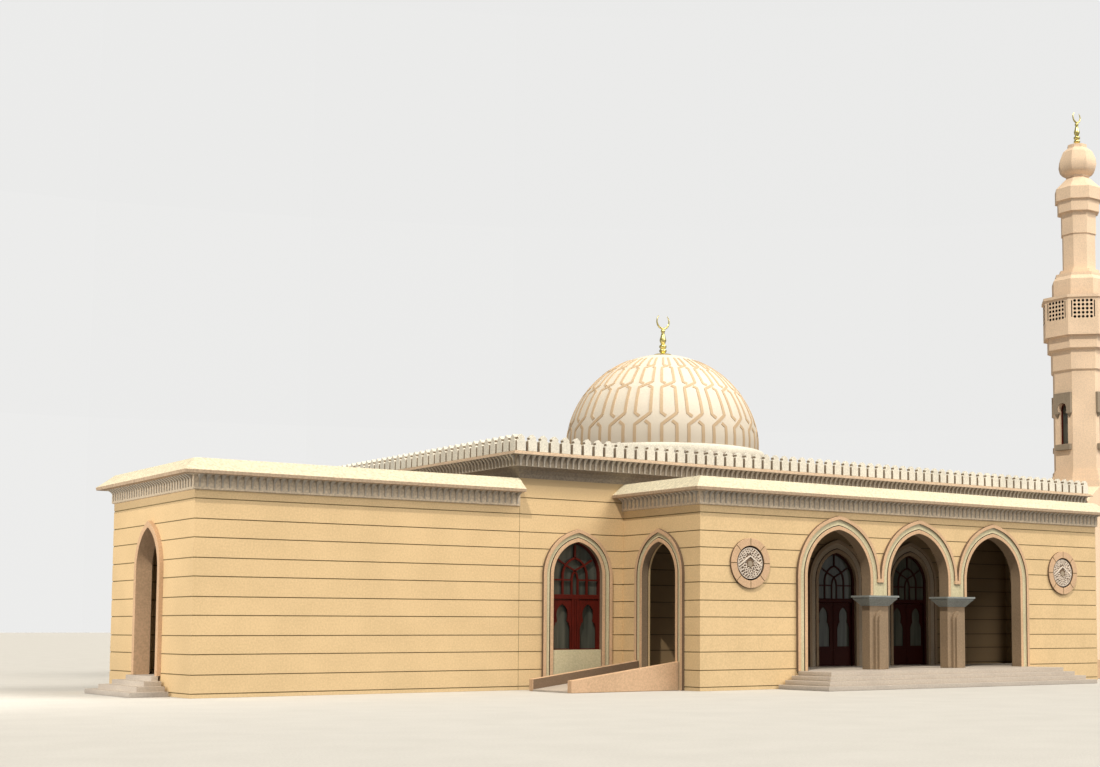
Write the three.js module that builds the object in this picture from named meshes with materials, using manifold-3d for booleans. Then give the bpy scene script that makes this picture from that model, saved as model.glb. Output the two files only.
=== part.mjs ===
// A mosque building: entrance wing, prayer hall with a dome, arcaded porch and octagonal minaret.
// Sizes are metres of the real building. The model is made at half size, in millimetres.
// X runs along the front from the porch's axis, Y runs into the building and Z is up.
import * as THREE from "three";
import { mergeVertices } from "three/addons/utils/BufferGeometryUtils.js";
import { ConvexGeometry } from "three/addons/geometries/ConvexGeometry.js";
import Module from "manifold-3d";

const wasm = await Module();
wasm.setup();

const METRE = 500; // one real metre in model millimetres
const GAP = 0.0006; // left between two pieces that touch

// Levels and wall sizes that several pieces share.
const WALL = 0.45;
const FLOOR = 0.65;
const SPRING = 4.2; // where every arch starts to curve
const LOW_WALL_TOP = 6.7; // wing and porch
const HALL_WALL_TOP = 7.75;
const RISER = FLOOR / 4;

const hall = { half: 15.52, depth: 25.2 };
const wing = { left: -27.6, depth: 8.1 };
const wingArch = { axis: 4.05, half: 1.09, apex: 5.67, outerHalf: 1.29, outerApex: 5.87 };
const porch = { half: 10.91, front: -4.9, archSpacing: 4.285, roundelX: 8.64, roundelZ: 4.63 };
const arcadeArch = { half: 1.626, apex: 6.03, outerHalf: 2.11, outerApex: 6.49 };
const doorway = { half: 1.075, apex: 5.45, outerHalf: 1.58, outerApex: 5.93 };
const windowArch = { axis: 12.99, half: 1.03, sill: 1.444, apex: 5.45, outerHalf: 1.58, outerApex: 5.92 };
const sideArch = { axis: -2.45, half: 1.075, apex: 5.456, outerHalf: 1.515, outerApex: 5.9 };
const dome = { y: 12.6, drumRadius: 4.75, hole: 4.4, base: 10.75, radius: 4.66, widest: 11.1, crown: 15.53,
  fullness: 1.85, shell: 0.25 };
const minaret = { x: 17.93, y: 1.6 };

const stone = {
  wall: { color: 0xe6c88f, roughness: 0.85 },
  trim: { color: 0xc8a283, roughness: 0.8 },
  cap: { color: 0xf5e3bd, roughness: 0.8 },
  pale: { color: 0xe6cfb0, roughness: 0.8 },
  grey: { color: 0x848b8a, roughness: 0.7 },
  step: { color: 0xcdc0ae, roughness: 0.85 },
  dome: { color: 0xf3e4ca, roughness: 0.6 },
};
const wood = { color: 0x5a1a10, roughness: 0.55 };
const glass = { color: 0x4a4e4c, roughness: 0.15 };
const gold = { color: 0xe9ce5b, roughness: 0.3, metalness: 1 };

const building = new THREE.Group();
building.name = "mosque_building";

// The solid inside a closed three.js geometry, turned from metres into model millimetres.
function solidFrom(geometry) {
  const shape = geometry.index ? geometry.toNonIndexed() : geometry.clone();
  shape.deleteAttribute("normal");
  shape.deleteAttribute("uv");
  shape.scale(METRE, METRE, METRE);
  const merged = mergeVertices(shape, 1e-3);
  const corners = merged.index.array;
  const kept = [];
  for (let i = 0; i < corners.length; i += 3) {
    const [a, b, c] = [corners[i], corners[i + 1], corners[i + 2]];
    if (a !== b && b !== c && c !== a) kept.push(a, b, c);
  }
  return new wasm.Manifold(
    new wasm.Mesh({
      numProp: 3,
      vertProperties: merged.attributes.position.array,
      triVerts: new Uint32Array(kept),
    }),
  );
}

function join(solids) {
  return solids.reduce((sum, solid) => sum.add(solid));
}

function box(x0, x1, y0, y1, z0, z1) {
  const shape = new THREE.BoxGeometry(x1 - x0, y1 - y0, z1 - z0);
  shape.translate((x0 + x1) / 2, (y0 + y1) / 2, (z0 + z1) / 2);
  return solidFrom(shape);
}

// An outline of [across, up] points, made thick from y0 to y1 as part of a wall that runs along X.
function plateAlongX(outline, y0, y1) {
  const shape = new THREE.Shape(outline.map(([x, z]) => new THREE.Vector2(x, z)));
  const plate = new THREE.ExtrudeGeometry(shape, { depth: y1 - y0, bevelEnabled: false });
  plate.rotateX(Math.PI / 2);
  plate.translate(0, y1, 0);
  return solidFrom(plate);
}

// The same outline made thick from x0 to x1, as part of a wall that runs along Y.
function plateAlongY(outline, x0, x1) {
  const shape = new THREE.Shape(outline.map(([y, z]) => new THREE.Vector2(y, z)));
  const plate = new THREE.ExtrudeGeometry(shape, { depth: x1 - x0, bevelEnabled: false });
  plate.rotateX(Math.PI / 2);
  plate.rotateZ(Math.PI / 2);
  plate.translate(x0, 0, 0);
  return solidFrom(plate);
}

// The outline of a two-centred pointed arch with straight jambs down to the foot.
function pointedArch(axis, half, apex, foot, spring = SPRING, steps = 8) {
  const rise = apex - spring;
  const shift = (rise * rise - half * half) / (2 * half);
  const radius = half + shift;
  const atApex = Math.atan2(rise, -shift);
  const left = [];
  for (let i = 0; i <= steps; i++) {
    const angle = Math.PI + ((atApex - Math.PI) * i) / steps;
    left.push([shift + radius * Math.cos(angle), spring + radius * Math.sin(angle)]);
  }
  const right = left.slice(0, -1).reverse().map(([x, z]) => [-x, z]);
  return [[-half, foot], ...left, ...right, [half, foot]].map(([x, z]) => [x + axis, z]);
}

// A solid turned about the vertical line through x, y; the profile lists [radius, height] anticlockwise.
function turned(profile, x, y, sides = 32, start = 0) {
  const points = [...profile, profile[0]].map(([r, z]) => new THREE.Vector2(r, z));
  const shape = new THREE.LatheGeometry(points, sides, start);
  shape.rotateX(Math.PI / 2);
  shape.translate(x, y, 0);
  return solidFrom(shape);
}

// The same with eight flat sides that face along X, along Y and along the diagonals.
function octagonal(profile, x, y) {
  return turned(profile, x, y, 8, Math.PI / 8);
}

// A moulding carried round the walls that x0 to y1 bound, with mitred corners.
// Its profile lists [outward, height] anticlockwise.
function rectangularRing(x0, x1, y0, y1, profile) {
  const corner = ([out, z], k) => {
    const x = k === 1 || k === 2 ? x1 + out : x0 - out;
    const y = k > 1 ? y1 + out : y0 - out;
    return [x, y, z];
  };
  const points = [];
  profile.forEach((low, i) => {
    const high = profile[(i + 1) % profile.length];
    for (let k = 0; k < 4; k++) {
      const next = (k + 1) % 4;
      const [a, b, c, d] = [corner(low, k), corner(low, next), corner(high, next), corner(high, k)];
      points.push(...a, ...b, ...c, ...a, ...c, ...d);
    }
  });
  const shape = new THREE.BufferGeometry();
  shape.setAttribute("position", new THREE.Float32BufferAttribute(points, 3));
  return solidFrom(shape);
}

// Adds the solid to the building as one named mesh with its own material.
function addPiece(name, solid, look) {
  const { numProp, numVert, vertProperties, triVerts } = solid.getMesh();
  const points = new Float32Array(numVert * 3);
  for (let i = 0; i < numVert; i++) {
    points.set(vertProperties.subarray(i * numProp, i * numProp + 3), i * 3);
  }
  const shape = new THREE.BufferGeometry();
  shape.setAttribute("position", new THREE.BufferAttribute(points, 3));
  shape.setIndex(new THREE.BufferAttribute(triVerts, 1));
  shape.computeVertexNormals();
  const mesh = new THREE.Mesh(shape, new THREE.MeshStandardMaterial({ metalness: 0, ...look }));
  mesh.name = name;
  building.add(mesh);
}

// Prayer hall walls. The front wall is one solid with its mouldings, cut into the pieces that stand
// left, between, right of and over the three doorways.
function addHallWalls() {
  const doorAxes = [-1, 0, 1].map((k) => k * porch.archSpacing);
  const surroundDepth = 0.08;
  let front = box(-hall.half, hall.half, 0, WALL, 0, HALL_WALL_TOP);
  for (const axis of doorAxes) {
    const band = pointedArch(axis, doorway.outerHalf, doorway.outerApex, FLOOR + GAP);
    front = front.add(plateAlongX(band, -surroundDepth, WALL / 2));
  }
  for (const axis of [-windowArch.axis, windowArch.axis]) {
    const band = pointedArch(axis, windowArch.outerHalf, windowArch.outerApex, 0);
    const panel = box(axis - windowArch.half, axis + windowArch.half, -1, 0, -1, windowArch.sill);
    front = front.add(plateAlongX(band, -surroundDepth, WALL / 2)).subtract(panel);
    const opening = pointedArch(axis, windowArch.half, windowArch.apex, windowArch.sill);
    front = front.subtract(plateAlongX(opening, -1, 1));
  }
  for (const axis of doorAxes) {
    front = front.subtract(plateAlongX(pointedArch(axis, doorway.half, doorway.apex, -1), -1, 1));
  }
  const split = 5.9;
  const cut = (x0, x1, z0, z1) => front.intersect(box(x0, x1, -1, 1, z0, z1));
  const beside = (side) => {
    const outer = side < 0 ? cut(-20, -split - GAP, -1, 9) : cut(split + GAP, 20, -1, 9);
    const inner = side < 0 ? cut(-split - 0.1, -5, -1, SPRING) : cut(5, split + 0.1, -1, SPRING);
    return outer.add(inner);
  };
  addPiece("hall_front_wall_left", beside(-1), stone.wall);
  addPiece("hall_front_wall_right", beside(1), stone.wall);
  addPiece("hall_door_pier_left", cut(-4, 0, -1, SPRING), stone.wall);
  addPiece("hall_door_pier_right", cut(0, 4, -1, SPRING), stone.wall);
  addPiece("hall_wall_over_doors", cut(-split, split, SPRING + GAP, 9), stone.wall);
  const sideY0 = WALL + GAP;
  const sideY1 = hall.depth - WALL - GAP;
  const left = box(-hall.half, -hall.half + WALL, sideY0, sideY1, 0, HALL_WALL_TOP);
  const right = box(hall.half - WALL, hall.half, sideY0, sideY1, 0, HALL_WALL_TOP);
  const back = box(-hall.half, hall.half, hall.depth - WALL, hall.depth, 0, HALL_WALL_TOP);
  addPiece("hall_left_wall", left, stone.wall);
  addPiece("hall_right_wall", right, stone.wall);
  addPiece("hall_back_wall", back, stone.wall);
}

// One raised floor under the hall and the porch, with a sill in each doorway and arch.
function addHallFloor() {
  const inside = hall.half - WALL - GAP;
  const slabs = [box(-inside, inside, WALL + GAP, hall.depth - WALL - GAP, 0, FLOOR)];
  const porchInside = porch.half - WALL - GAP;
  const porchFront = porch.front + WALL + GAP;
  slabs.push(box(-porchInside, porchInside, porchFront, -GAP, 0, FLOOR));
  for (const k of [-1, 0, 1]) {
    const axis = k * porch.archSpacing;
    const half = doorway.half - GAP;
    slabs.push(box(axis - half, axis + half, -0.1, WALL + 0.1, 0, FLOOR));
  }
  const arcadeHalf = porch.archSpacing + arcadeArch.half - GAP;
  slabs.push(box(-arcadeHalf, arcadeHalf, porch.front, porchFront + 0.1, 0, FLOOR));
  const archY0 = sideArch.axis - sideArch.half + GAP;
  const archY1 = sideArch.axis + sideArch.half - GAP;
  slabs.push(box(-porch.half, -porchInside + 0.1, archY0, archY1, 0, FLOOR));
  slabs.push(box(porchInside - 0.1, porch.half, archY0, archY1, 0, FLOOR));
  addPiece("hall_and_porch_floor", join(slabs), stone.step);
}

// Flat roof with the drum that carries the dome.
function addHallRoof() {
  const edge = WALL / 2 + GAP;
  const slab = box(-hall.half + edge, hall.half - edge, edge, hall.depth - edge, HALL_WALL_TOP + GAP, 8.05);
  const drum = [
    [dome.hole, 7.9], [dome.drumRadius, 7.9], [dome.drumRadius, 10.2], [4.95, 10.28],
    [4.95, 10.6], [4.84, 10.66], [4.84, dome.base], [dome.hole, dome.base],
  ];
  const hole = turned([[0, 7], [dome.hole, 7], [dome.hole, 9], [0, 9]], 0, dome.y, 48);
  const roof = slab.subtract(hole).add(turned(drum, 0, dome.y, 48));
  addPiece("hall_roof_and_drum", roof, stone.pale);
}

function addHallCornice() {
  const cornice = rectangularRing(-hall.half, hall.half, 0, hall.depth, [
    [0, 7.7506], [0.06, 7.9], [0.16, 8.04], [0.3, 8.13], [0.347, 8.15], [0.347, 8.55],
    [0.57, 8.57], [0.53, 8.65], [0.45, 8.7], [-WALL / 2, 8.7], [-WALL / 2, 7.7506],
  ]);
  addPiece("hall_cornice", cornice, stone.cap);
}

// A row of pointed merlons on a low curb, as one outline from start to end.
function merlonRow(start, end, count) {
  const curb = 8.79;
  const pitch = (end - start) / count;
  const outline = [[start, 8.7006], [end, 8.7006], [end, curb]];
  for (let i = count - 1; i >= 0; i--) {
    const axis = start + pitch * (i + 0.5);
    outline.push([axis + 0.185, curb], [axis + 0.185, 9.12], [axis + 0.12, 9.2], [axis, 9.335]);
    outline.push([axis - 0.12, 9.2], [axis - 0.185, 9.12], [axis - 0.185, curb]);
  }
  outline.push([start, curb]);
  return outline;
}

function addCrenellation() {
  const outside = 0.433;
  const inside = 0.273;
  const x = hall.half + outside;
  const y0 = -outside;
  const y1 = hall.depth + outside;
  const alongX = merlonRow(-x, x, 66);
  const alongY = merlonRow(y0, y1, 54);
  const rows = [
    plateAlongX(alongX, y0, -inside),
    plateAlongX(alongX, hall.depth + inside, y1),
    plateAlongY(alongY, -x, -hall.half - inside),
    plateAlongY(alongY, hall.half + inside, x),
  ];
  addPiece("hall_crenellation", join(rows), stone.cap);
}

// The dome's curve from its foot to its crown, moved in by an inset: close to an ellipse.
function domeLine(inset) {
  const rise = dome.crown - inset - dome.widest;
  const line = [[dome.radius - inset - 0.02, dome.base + GAP]];
  const steps = 11;
  for (let i = 0; i <= steps; i++) {
    const share = Math.sin((Math.PI / 2) * (i / steps));
    const reach = Math.sqrt(Math.max(0, 1 - share ** dome.fullness));
    line.push([(dome.radius - inset) * reach, dome.widest + rise * share]);
  }
  return line;
}

function addDome() {
  const outline = [...domeLine(0), ...domeLine(dome.shell).reverse()];
  addPiece("dome", turned(outline, 0, dome.y, 48), stone.dome);
}

// A crescent with its tips up, standing across the front.
function crescent(x, y, bottom, radius, thick) {
  const steps = 14;
  const outer = [];
  const inner = [];
  const tip = 0.62;
  for (let i = 0; i <= steps; i++) {
    const angle = Math.PI * (1.5 - tip + (2 * tip * i) / steps);
    outer.push([x + radius * Math.cos(angle), bottom + radius + radius * Math.sin(angle)]);
  }
  const [tipX, tipZ] = [outer[steps][0] - x, outer[steps][1]];
  const hollowZ = bottom + radius * 0.42;
  const rise = tipZ - hollowZ;
  const hollow = (rise * rise + tipX * tipX) / (2 * rise);
  const half = Math.atan2(tipX, hollow - rise);
  for (let i = 1; i < steps; i++) {
    const angle = Math.PI * 1.5 + half - (2 * half * i) / steps;
    inner.push([x + hollow * Math.cos(angle), hollowZ + hollow + hollow * Math.sin(angle)]);
  }
  return plateAlongX([...outer, ...inner], y - thick / 2, y + thick / 2);
}

function addDomeFinial() {
  const profile = [
    [0, 15.5306], [0.2, 15.5306], [0.44, 15.55], [0.44, 15.6], [0.12, 15.66], [0.08, 15.8], [0.17, 15.86],
    [0.08, 15.94], [0.08, 15.98], [0.17, 16.04], [0.08, 16.12], [0.15, 16.35], [0.06, 16.68],
    [0.05, 16.93], [0, 16.93],
  ];
  const stem = turned(profile, 0, dome.y, 20);
  addPiece("dome_finial", stem.add(crescent(0, dome.y, 16.89, 0.33, 0.07)), gold);
}

// The cornice of the two lower roofs: bracket band, lip and sloping cap.
const lowCornice = [
  [0, 6.7006], [0.07, 6.72], [0.07, 7.18], [0.5, 7.2], [0.52, 7.3], [0.3, 7.48], [0.05, 7.7],
  [0, 7.74], [-WALL / 2, 7.74], [-WALL / 2, 6.7006],
];

function addWing() {
  const right = -hall.half - GAP;
  const arch = (half, apex, foot) => pointedArch(wingArch.axis, half, apex, foot);
  const front = box(wing.left, right, 0, WALL, 0, LOW_WALL_TOP);
  const back = box(wing.left, right, wing.depth - WALL, wing.depth, 0, LOW_WALL_TOP);
  const endX = wing.left + WALL;
  const end = box(wing.left, endX, WALL + GAP, wing.depth - WALL - GAP, 0, LOW_WALL_TOP)
    .add(plateAlongY(arch(wingArch.outerHalf, wingArch.outerApex, 0), wing.left - 0.08, wing.left + 0.1))
    .subtract(plateAlongY(arch(wingArch.half, wingArch.apex, -1), wing.left - 1, endX + 1));
  addPiece("wing_front_wall", front, stone.wall);
  addPiece("wing_end_wall", end, stone.wall);
  addPiece("wing_back_wall", back, stone.wall);
  const inner = box(endX + GAP, right, WALL + GAP, wing.depth - WALL - GAP, 0, FLOOR);
  const y0 = wingArch.axis - wingArch.half + GAP;
  const y1 = wingArch.axis + wingArch.half - GAP;
  addPiece("wing_floor", inner.add(box(wing.left, endX + 0.1, y0, y1, 0, FLOOR)), stone.step);
  const edge = WALL / 2 + GAP;
  const roof = box(wing.left + edge, right, edge, wing.depth - edge, LOW_WALL_TOP + GAP, 7);
  addPiece("wing_roof", roof, stone.pale);
  const cornice = rectangularRing(wing.left, -hall.half + 2, 0, wing.depth, lowCornice)
    .subtract(box(right, -hall.half + 4, -2, wing.depth + 2, 6, 8));
  addPiece("wing_cornice", cornice, stone.cap);
}

// Four risers that wrap round the wing's end doorway.
function addWingSteps() {
  const wallX = wing.left - 0.0806;
  const levels = [0, 1, 2, 3].map((k) => {
    const half = wingArch.outerHalf + 0.35 * k;
    const x0 = wing.left - 0.32 - 0.35 * k;
    return box(x0, wallX, wingArch.axis - half, wingArch.axis + half, 0, FLOOR - RISER * k);
  });
  addPiece("wing_steps", join(levels), stone.step);
}

// Porch front: one solid with its three arches, mouldings and roundel holes, cut into a wall
// at each end and the arcade that stands on the two capitals.
function addPorchWalls() {
  const y0 = porch.front;
  const y1 = porch.front + WALL;
  const depth = 0.08;
  const axes = [-1, 0, 1].map((k) => k * porch.archSpacing);
  let front = box(-porch.half, porch.half, y0, y1, 0, LOW_WALL_TOP);
  for (const axis of axes) {
    const band = pointedArch(axis, arcadeArch.outerHalf, arcadeArch.outerApex, FLOOR + GAP);
    front = front.add(plateAlongX(band, y0 - depth, y0 + 0.2));
  }
  const middles = [-porch.archSpacing / 2, porch.archSpacing / 2];
  for (const x of middles) front = front.add(box(x - 0.2, x + 0.2, y0 - depth, y0 + 0.2, 3, 4.05));
  for (const axis of axes) {
    const opening = pointedArch(axis, arcadeArch.half, arcadeArch.apex, -1);
    front = front.subtract(plateAlongX(opening, y0 - 1, y1 + 1));
  }
  for (const x of [-porch.roundelX, porch.roundelX]) {
    const hole = roundBar(x, porch.roundelZ, 0.8, y0 - 1, y1 + 1, 24);
    front = front.subtract(hole);
  }
  const split = 6.42;
  const capitalTop = 3.52;
  const cut = (x0, x1, z0, z1) => front.intersect(box(x0, x1, y0 - 1, y1 + 1, z0, z1));
  const left = cut(-12, -split - GAP, -1, 9).add(cut(-split - 0.1, -5, -1, SPRING));
  const right = cut(split + GAP, 12, -1, 9).add(cut(5, split + 0.1, -1, SPRING));
  addPiece("porch_front_wall_left", left, stone.wall);
  addPiece("porch_front_wall_right", right, stone.wall);
  const legs = cut(-4, 4, capitalTop + GAP, SPRING + 0.1);
  addPiece("porch_arcade", cut(-split, split, SPRING + GAP, 9).add(legs), stone.wall);
  addPorchSideWall("porch_side_wall_left", -1);
  addPorchSideWall("porch_side_wall_right", 1);
}

// A round bar from y0 to y1, used for the roundels.
function roundBar(x, z, radius, y0, y1, sides) {
  const shape = new THREE.CylinderGeometry(radius, radius, y1 - y0, sides);
  shape.translate(x, (y0 + y1) / 2, z);
  return solidFrom(shape);
}

function addPorchSideWall(name, side) {
  const y0 = porch.front + WALL + GAP;
  const outline = pointedArch(sideArch.axis, sideArch.outerHalf, sideArch.outerApex, 0);
  const opening = pointedArch(sideArch.axis, sideArch.half, sideArch.apex, -1);
  const outer = side * porch.half;
  const inner = side * (porch.half - WALL);
  const [x0, x1] = [Math.min(outer, inner), Math.max(outer, inner)];
  const band = side < 0 ? [x0 - 0.08, x0 + 0.1] : [x1 - 0.1, x1 + 0.08];
  const wall = box(x0, x1, y0, -GAP, 0, LOW_WALL_TOP)
    .add(plateAlongY(outline, ...band))
    .subtract(plateAlongY(opening, x0 - 1, x1 + 1));
  addPiece(name, wall, stone.wall);
}

// A square pier with two raised lancet panels, one on the other, and a grey capital.
function addPorchPier(name, x) {
  const y0 = porch.front;
  const half = 0.5;
  const shaft = box(x - half, x + half, y0, y0 + WALL, FLOOR + GAP, 3.2);
  const lancet = (width, apex, out) =>
    plateAlongX(pointedArch(x, width / 2, apex, FLOOR + GAP, 2.6, 4), y0 - out, y0 + 0.1);
  const panels = lancet(0.56, 2.94, 0.1).add(lancet(0.33, 2.8, 0.185));
  const ring = (out, z0, z1) => box(x - half - out, x + half + out, y0 - out, y0 + WALL + out, z0, z1);
  const bell = rectangularRing(x - half, x + half, y0, y0 + WALL, [
    [0, 3.12], [0.05, 3.14], [0.22, 3.38], [-0.1, 3.38], [-0.1, 3.12],
  ]);
  const slab = ring(0.3, 3.38, 3.52);
  addPiece(name, join([shaft, panels, bell, slab, ring(-0.05, 3.1, 3.5)]), stone.grey);
}

// Carved lattice disc set in its ring of stone, in the round hole of the porch front.
function addRoundel(name, x) {
  const y0 = porch.front;
  const z = porch.roundelZ;
  let disc = roundBar(x, z, 0.79, y0 + 0.02, y0 + 0.2, 24);
  disc = disc.subtract(roundBar(x, z, 0.15, y0 - 1, y0 + 1, 8));
  for (let i = 0; i < 8; i++) {
    const angle = (Math.PI * (2 * i + 1)) / 8;
    const reach = 0.42;
    const hole = roundBar(x + reach * Math.cos(angle), z + reach * Math.sin(angle), 0.12, y0 - 1, y0 + 1, 8);
    disc = disc.subtract(hole);
  }
  const rim = roundBar(x, z, 0.92, y0 - 0.09, y0 - GAP, 32)
    .subtract(roundBar(x, z, 0.64, y0 - 1, y0 + 1, 24));
  const lining = roundBar(x, z, 0.79, y0 - 0.05, y0 + 0.1, 24)
    .subtract(roundBar(x, z, 0.64, y0 - 1, y0 + 1, 24));
  addPiece(name, join([disc, rim, lining]), stone.trim);
}

function addPorchRoof() {
  const edge = WALL / 2 + GAP;
  const x = porch.half - edge;
  addPiece("porch_roof", box(-x, x, porch.front + edge, -GAP, LOW_WALL_TOP + GAP, 7), stone.pale);
  const cornice = rectangularRing(-porch.half, porch.half, porch.front, 2, lowCornice)
    .subtract(box(-13, 13, -GAP, 4, 6, 8));
  addPiece("porch_cornice", cornice, stone.cap);
}

// The landing and three steps before the arcade, each one slab that reaches further out than the one above.
function addPorchSteps() {
  const names = ["porch_step_bottom", "porch_step_second", "porch_step_third", "porch_landing"];
  names.forEach((name, k) => {
    const out = 0.32 * (3 - k);
    const z0 = k === 0 ? 0 : RISER * k + GAP;
    const half = 6.38 + out;
    const y0 = porch.front - 1.95 - out;
    addPiece(name, box(-half, half, y0, porch.front - 0.0806, z0, RISER * (k + 1)), stone.step);
  });
}

// A ramp beside the porch between two sloping parapets; side is -1 on the left and 1 on the right.
function addRamp(name, side) {
  const low = 15.6;
  const high = porch.half + 0.0806;
  const point = (x, z) => [side * x, z];
  const slope = [point(low, 0), point(high, 0), point(high, FLOOR), point(low, 0.06)];
  const parapet = [point(low, 0), point(high, 0), point(high, 1.04), point(low, 0.43)];
  const wound = (outline) => (side < 0 ? outline : [...outline].reverse());
  addPiece(
    name,
    join([
      plateAlongX(wound(slope), -3.5, -1.1),
      plateAlongX(wound(parapet), -3.74, -3.48),
      plateAlongX(wound(parapet), -1.2, -0.94),
    ]),
    stone.trim,
  );
}

// Wooden frame of a doorway: arched lining, rail over the leaves and glazed fanlight.
function addDoorFrame(name, axis) {
  const half = doorway.half - GAP;
  const inner = half - 0.09;
  const lining = plateAlongX(pointedArch(axis, half, doorway.apex - GAP, FLOOR + GAP), 0.12, 0.34)
    .subtract(plateAlongX(pointedArch(axis, inner, doorway.apex - 0.12, 0), 0, 1));
  const rail = box(axis - inner - 0.01, axis + inner + 0.01, 0.16, 0.3, 3.34, 3.5);
  const pane = plateAlongX(pointedArch(axis, inner + 0.02, doorway.apex - 0.1, 3.4), 0.215, 0.235);
  const bars = [-0.33, 0, 0.33].map((x) => box(axis + x - 0.03, axis + x + 0.03, 0.19, 0.26, 3.4, 4.6));
  const crossbar = box(axis - inner, axis + inner, 0.19, 0.26, 4.1, 4.16);
  addPiece(name, join([lining, rail, pane, ...bars, crossbar]), wood);
}

// One door leaf with an arched light above a sunk panel, on a pivot pin that meets the floor.
// side is -1 for the left leaf.
function addDoorLeaf(name, axis, side) {
  const hinge = doorway.half - GAP - 0.09 - 0.012;
  const meeting = 0.008;
  const [y0, y1] = [0.2, 0.26];
  const x0 = axis + (side < 0 ? -hinge : meeting);
  const x1 = axis + (side < 0 ? -meeting : hinge);
  const middle = (x0 + x1) / 2;
  const light = pointedArch(middle, 0.27, 3.1, 1.55, 2.7, 5);
  const leaf = box(x0, x1, y0, y1, FLOOR + 0.015, 3.328)
    .subtract(plateAlongX(light, y0 - 1, y0 + 0.02))
    .subtract(plateAlongX(light, y1 - 0.02, y1 + 1))
    .subtract(box(middle - 0.3, middle + 0.3, y0 - 1, y0 + 0.015, 0.85, 1.4));
  const [foot, top] = [FLOOR + GAP, FLOOR + 0.03];
  const pin = turned([[0, foot], [0.01, foot], [0.01, top], [0, top]], axis + side * hinge, y1, 12);
  addPiece(name, leaf.add(pin), wood);
}

function addDoors() {
  const places = { left: -porch.archSpacing, middle: 0, right: porch.archSpacing };
  for (const [place, axis] of Object.entries(places)) {
    addDoorFrame(`door_frame_${place}`, axis);
    addDoorLeaf(`door_${place}_leaf_left`, axis, -1);
    addDoorLeaf(`door_${place}_leaf_right`, axis, 1);
  }
}

// Arched window beside the porch: frame with one mullion and a rail, and the glass behind the bars.
function addWindow(place, axis) {
  const half = windowArch.half - GAP;
  const inner = half - 0.1;
  const sill = windowArch.sill + GAP;
  const lining = plateAlongX(pointedArch(axis, half, windowArch.apex - GAP, sill), 0.1, 0.26)
    .subtract(plateAlongX(pointedArch(axis, inner, windowArch.apex - 0.13, sill + 0.1), 0, 1));
  const mullion = box(axis - 0.09, axis + 0.09, 0.12, 0.24, sill + 0.05, 3.5);
  const rail = box(axis - inner - 0.01, axis + inner + 0.01, 0.12, 0.24, 3.34, 3.52);
  const bars = [-0.33, 0, 0.33].map((x) => box(axis + x - 0.03, axis + x + 0.03, 0.14, 0.22, 3.4, 4.5));
  const crossbar = box(axis - inner, axis + inner, 0.14, 0.22, 4.1, 4.16);
  addPiece(`window_frame_${place}`, join([lining, mullion, rail, ...bars, crossbar]), wood);
  const pane = plateAlongX(pointedArch(axis, half, windowArch.apex - GAP, sill), 0.2606, 0.29);
  addPiece(`window_glass_${place}`, pane, glass);
}

// Square minaret base with a broach at each corner and three plinth steps, tied to the hall by a short wall.
function addMinaretBase() {
  const { x, y } = minaret;
  const half = 1.6;
  const broachFoot = 8.4;
  const broachTop = 9.17;
  const points = [];
  for (const [a, b] of [[-1, -1], [1, -1], [1, 1], [-1, 1]]) {
    points.push(new THREE.Vector3(x + a * half, y + b * half, broachFoot));
  }
  for (let i = 0; i < 8; i++) {
    const angle = (Math.PI * (2 * i + 1)) / 8;
    const reach = half / Math.cos(Math.PI / 8);
    points.push(new THREE.Vector3(x + reach * Math.cos(angle), y + reach * Math.sin(angle), broachTop));
  }
  const plinth = octagonal([
    [0, 9.1], [1.72, 9.1], [1.72, 9.5], [1.63, 9.5], [1.63, 9.77], [1.54, 9.77], [1.54, 10], [0, 10],
  ], x, y);
  const link = box(hall.half + GAP, x - half + 0.1, 0.6, 2.6, 0, 7.7);
  const core = octagonal([[0, -1], [1.1, -1], [1.1, 11], [0, 11]], x, y);
  const block = box(x - half, x + half, y - half, y + half, 0, broachFoot);
  const broach = solidFrom(new ConvexGeometry(points));
  addPiece("minaret_base", join([block, broach, plinth, link]).subtract(core), stone.pale);
}

// Hollow eight-sided shaft with a hooded slot window on four sides and two corbel bands.
function addMinaretShaft() {
  const { x, y } = minaret;
  const flat = 1.34; // from the axis to a side
  let shaft = octagonal([
    [1.1, 10.0006], [1.451, 10.0006], [1.451, 14.96], [1.54, 15.04], [1.54, 16], [1.72, 16.08],
    [1.72, 16.7], [1.1, 16.7],
  ], x, y);
  const hoodsX = box(x - flat - 0.1, x + flat + 0.1, y - 0.52, y + 0.52, 12.86, 13.89);
  const hoodsY = box(x - 0.52, x + 0.52, y - flat - 0.1, y + flat + 0.1, 12.86, 13.89);
  const sillsX = box(x - flat - 0.14, x + flat + 0.14, y - 0.45, y + 0.45, 11.05, 11.33);
  const sillsY = box(x - 0.45, x + 0.45, y - flat - 0.14, y + flat + 0.14, 11.05, 11.33);
  shaft = join([shaft, hoodsX, hoodsY, sillsX, sillsY]);
  const core = octagonal([[0, 10], [1.1, 10], [1.1, 17], [0, 17]], x, y);
  const slot = (axis) => pointedArch(axis, 0.25, 13.42, 11.33, 13.1, 4);
  shaft = shaft
    .subtract(core)
    .subtract(plateAlongY(slot(y), x - 3, x + 3))
    .subtract(plateAlongX(slot(x), y - 3, y + 3));
  addPiece("minaret_shaft", shaft, stone.pale);
}

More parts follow.
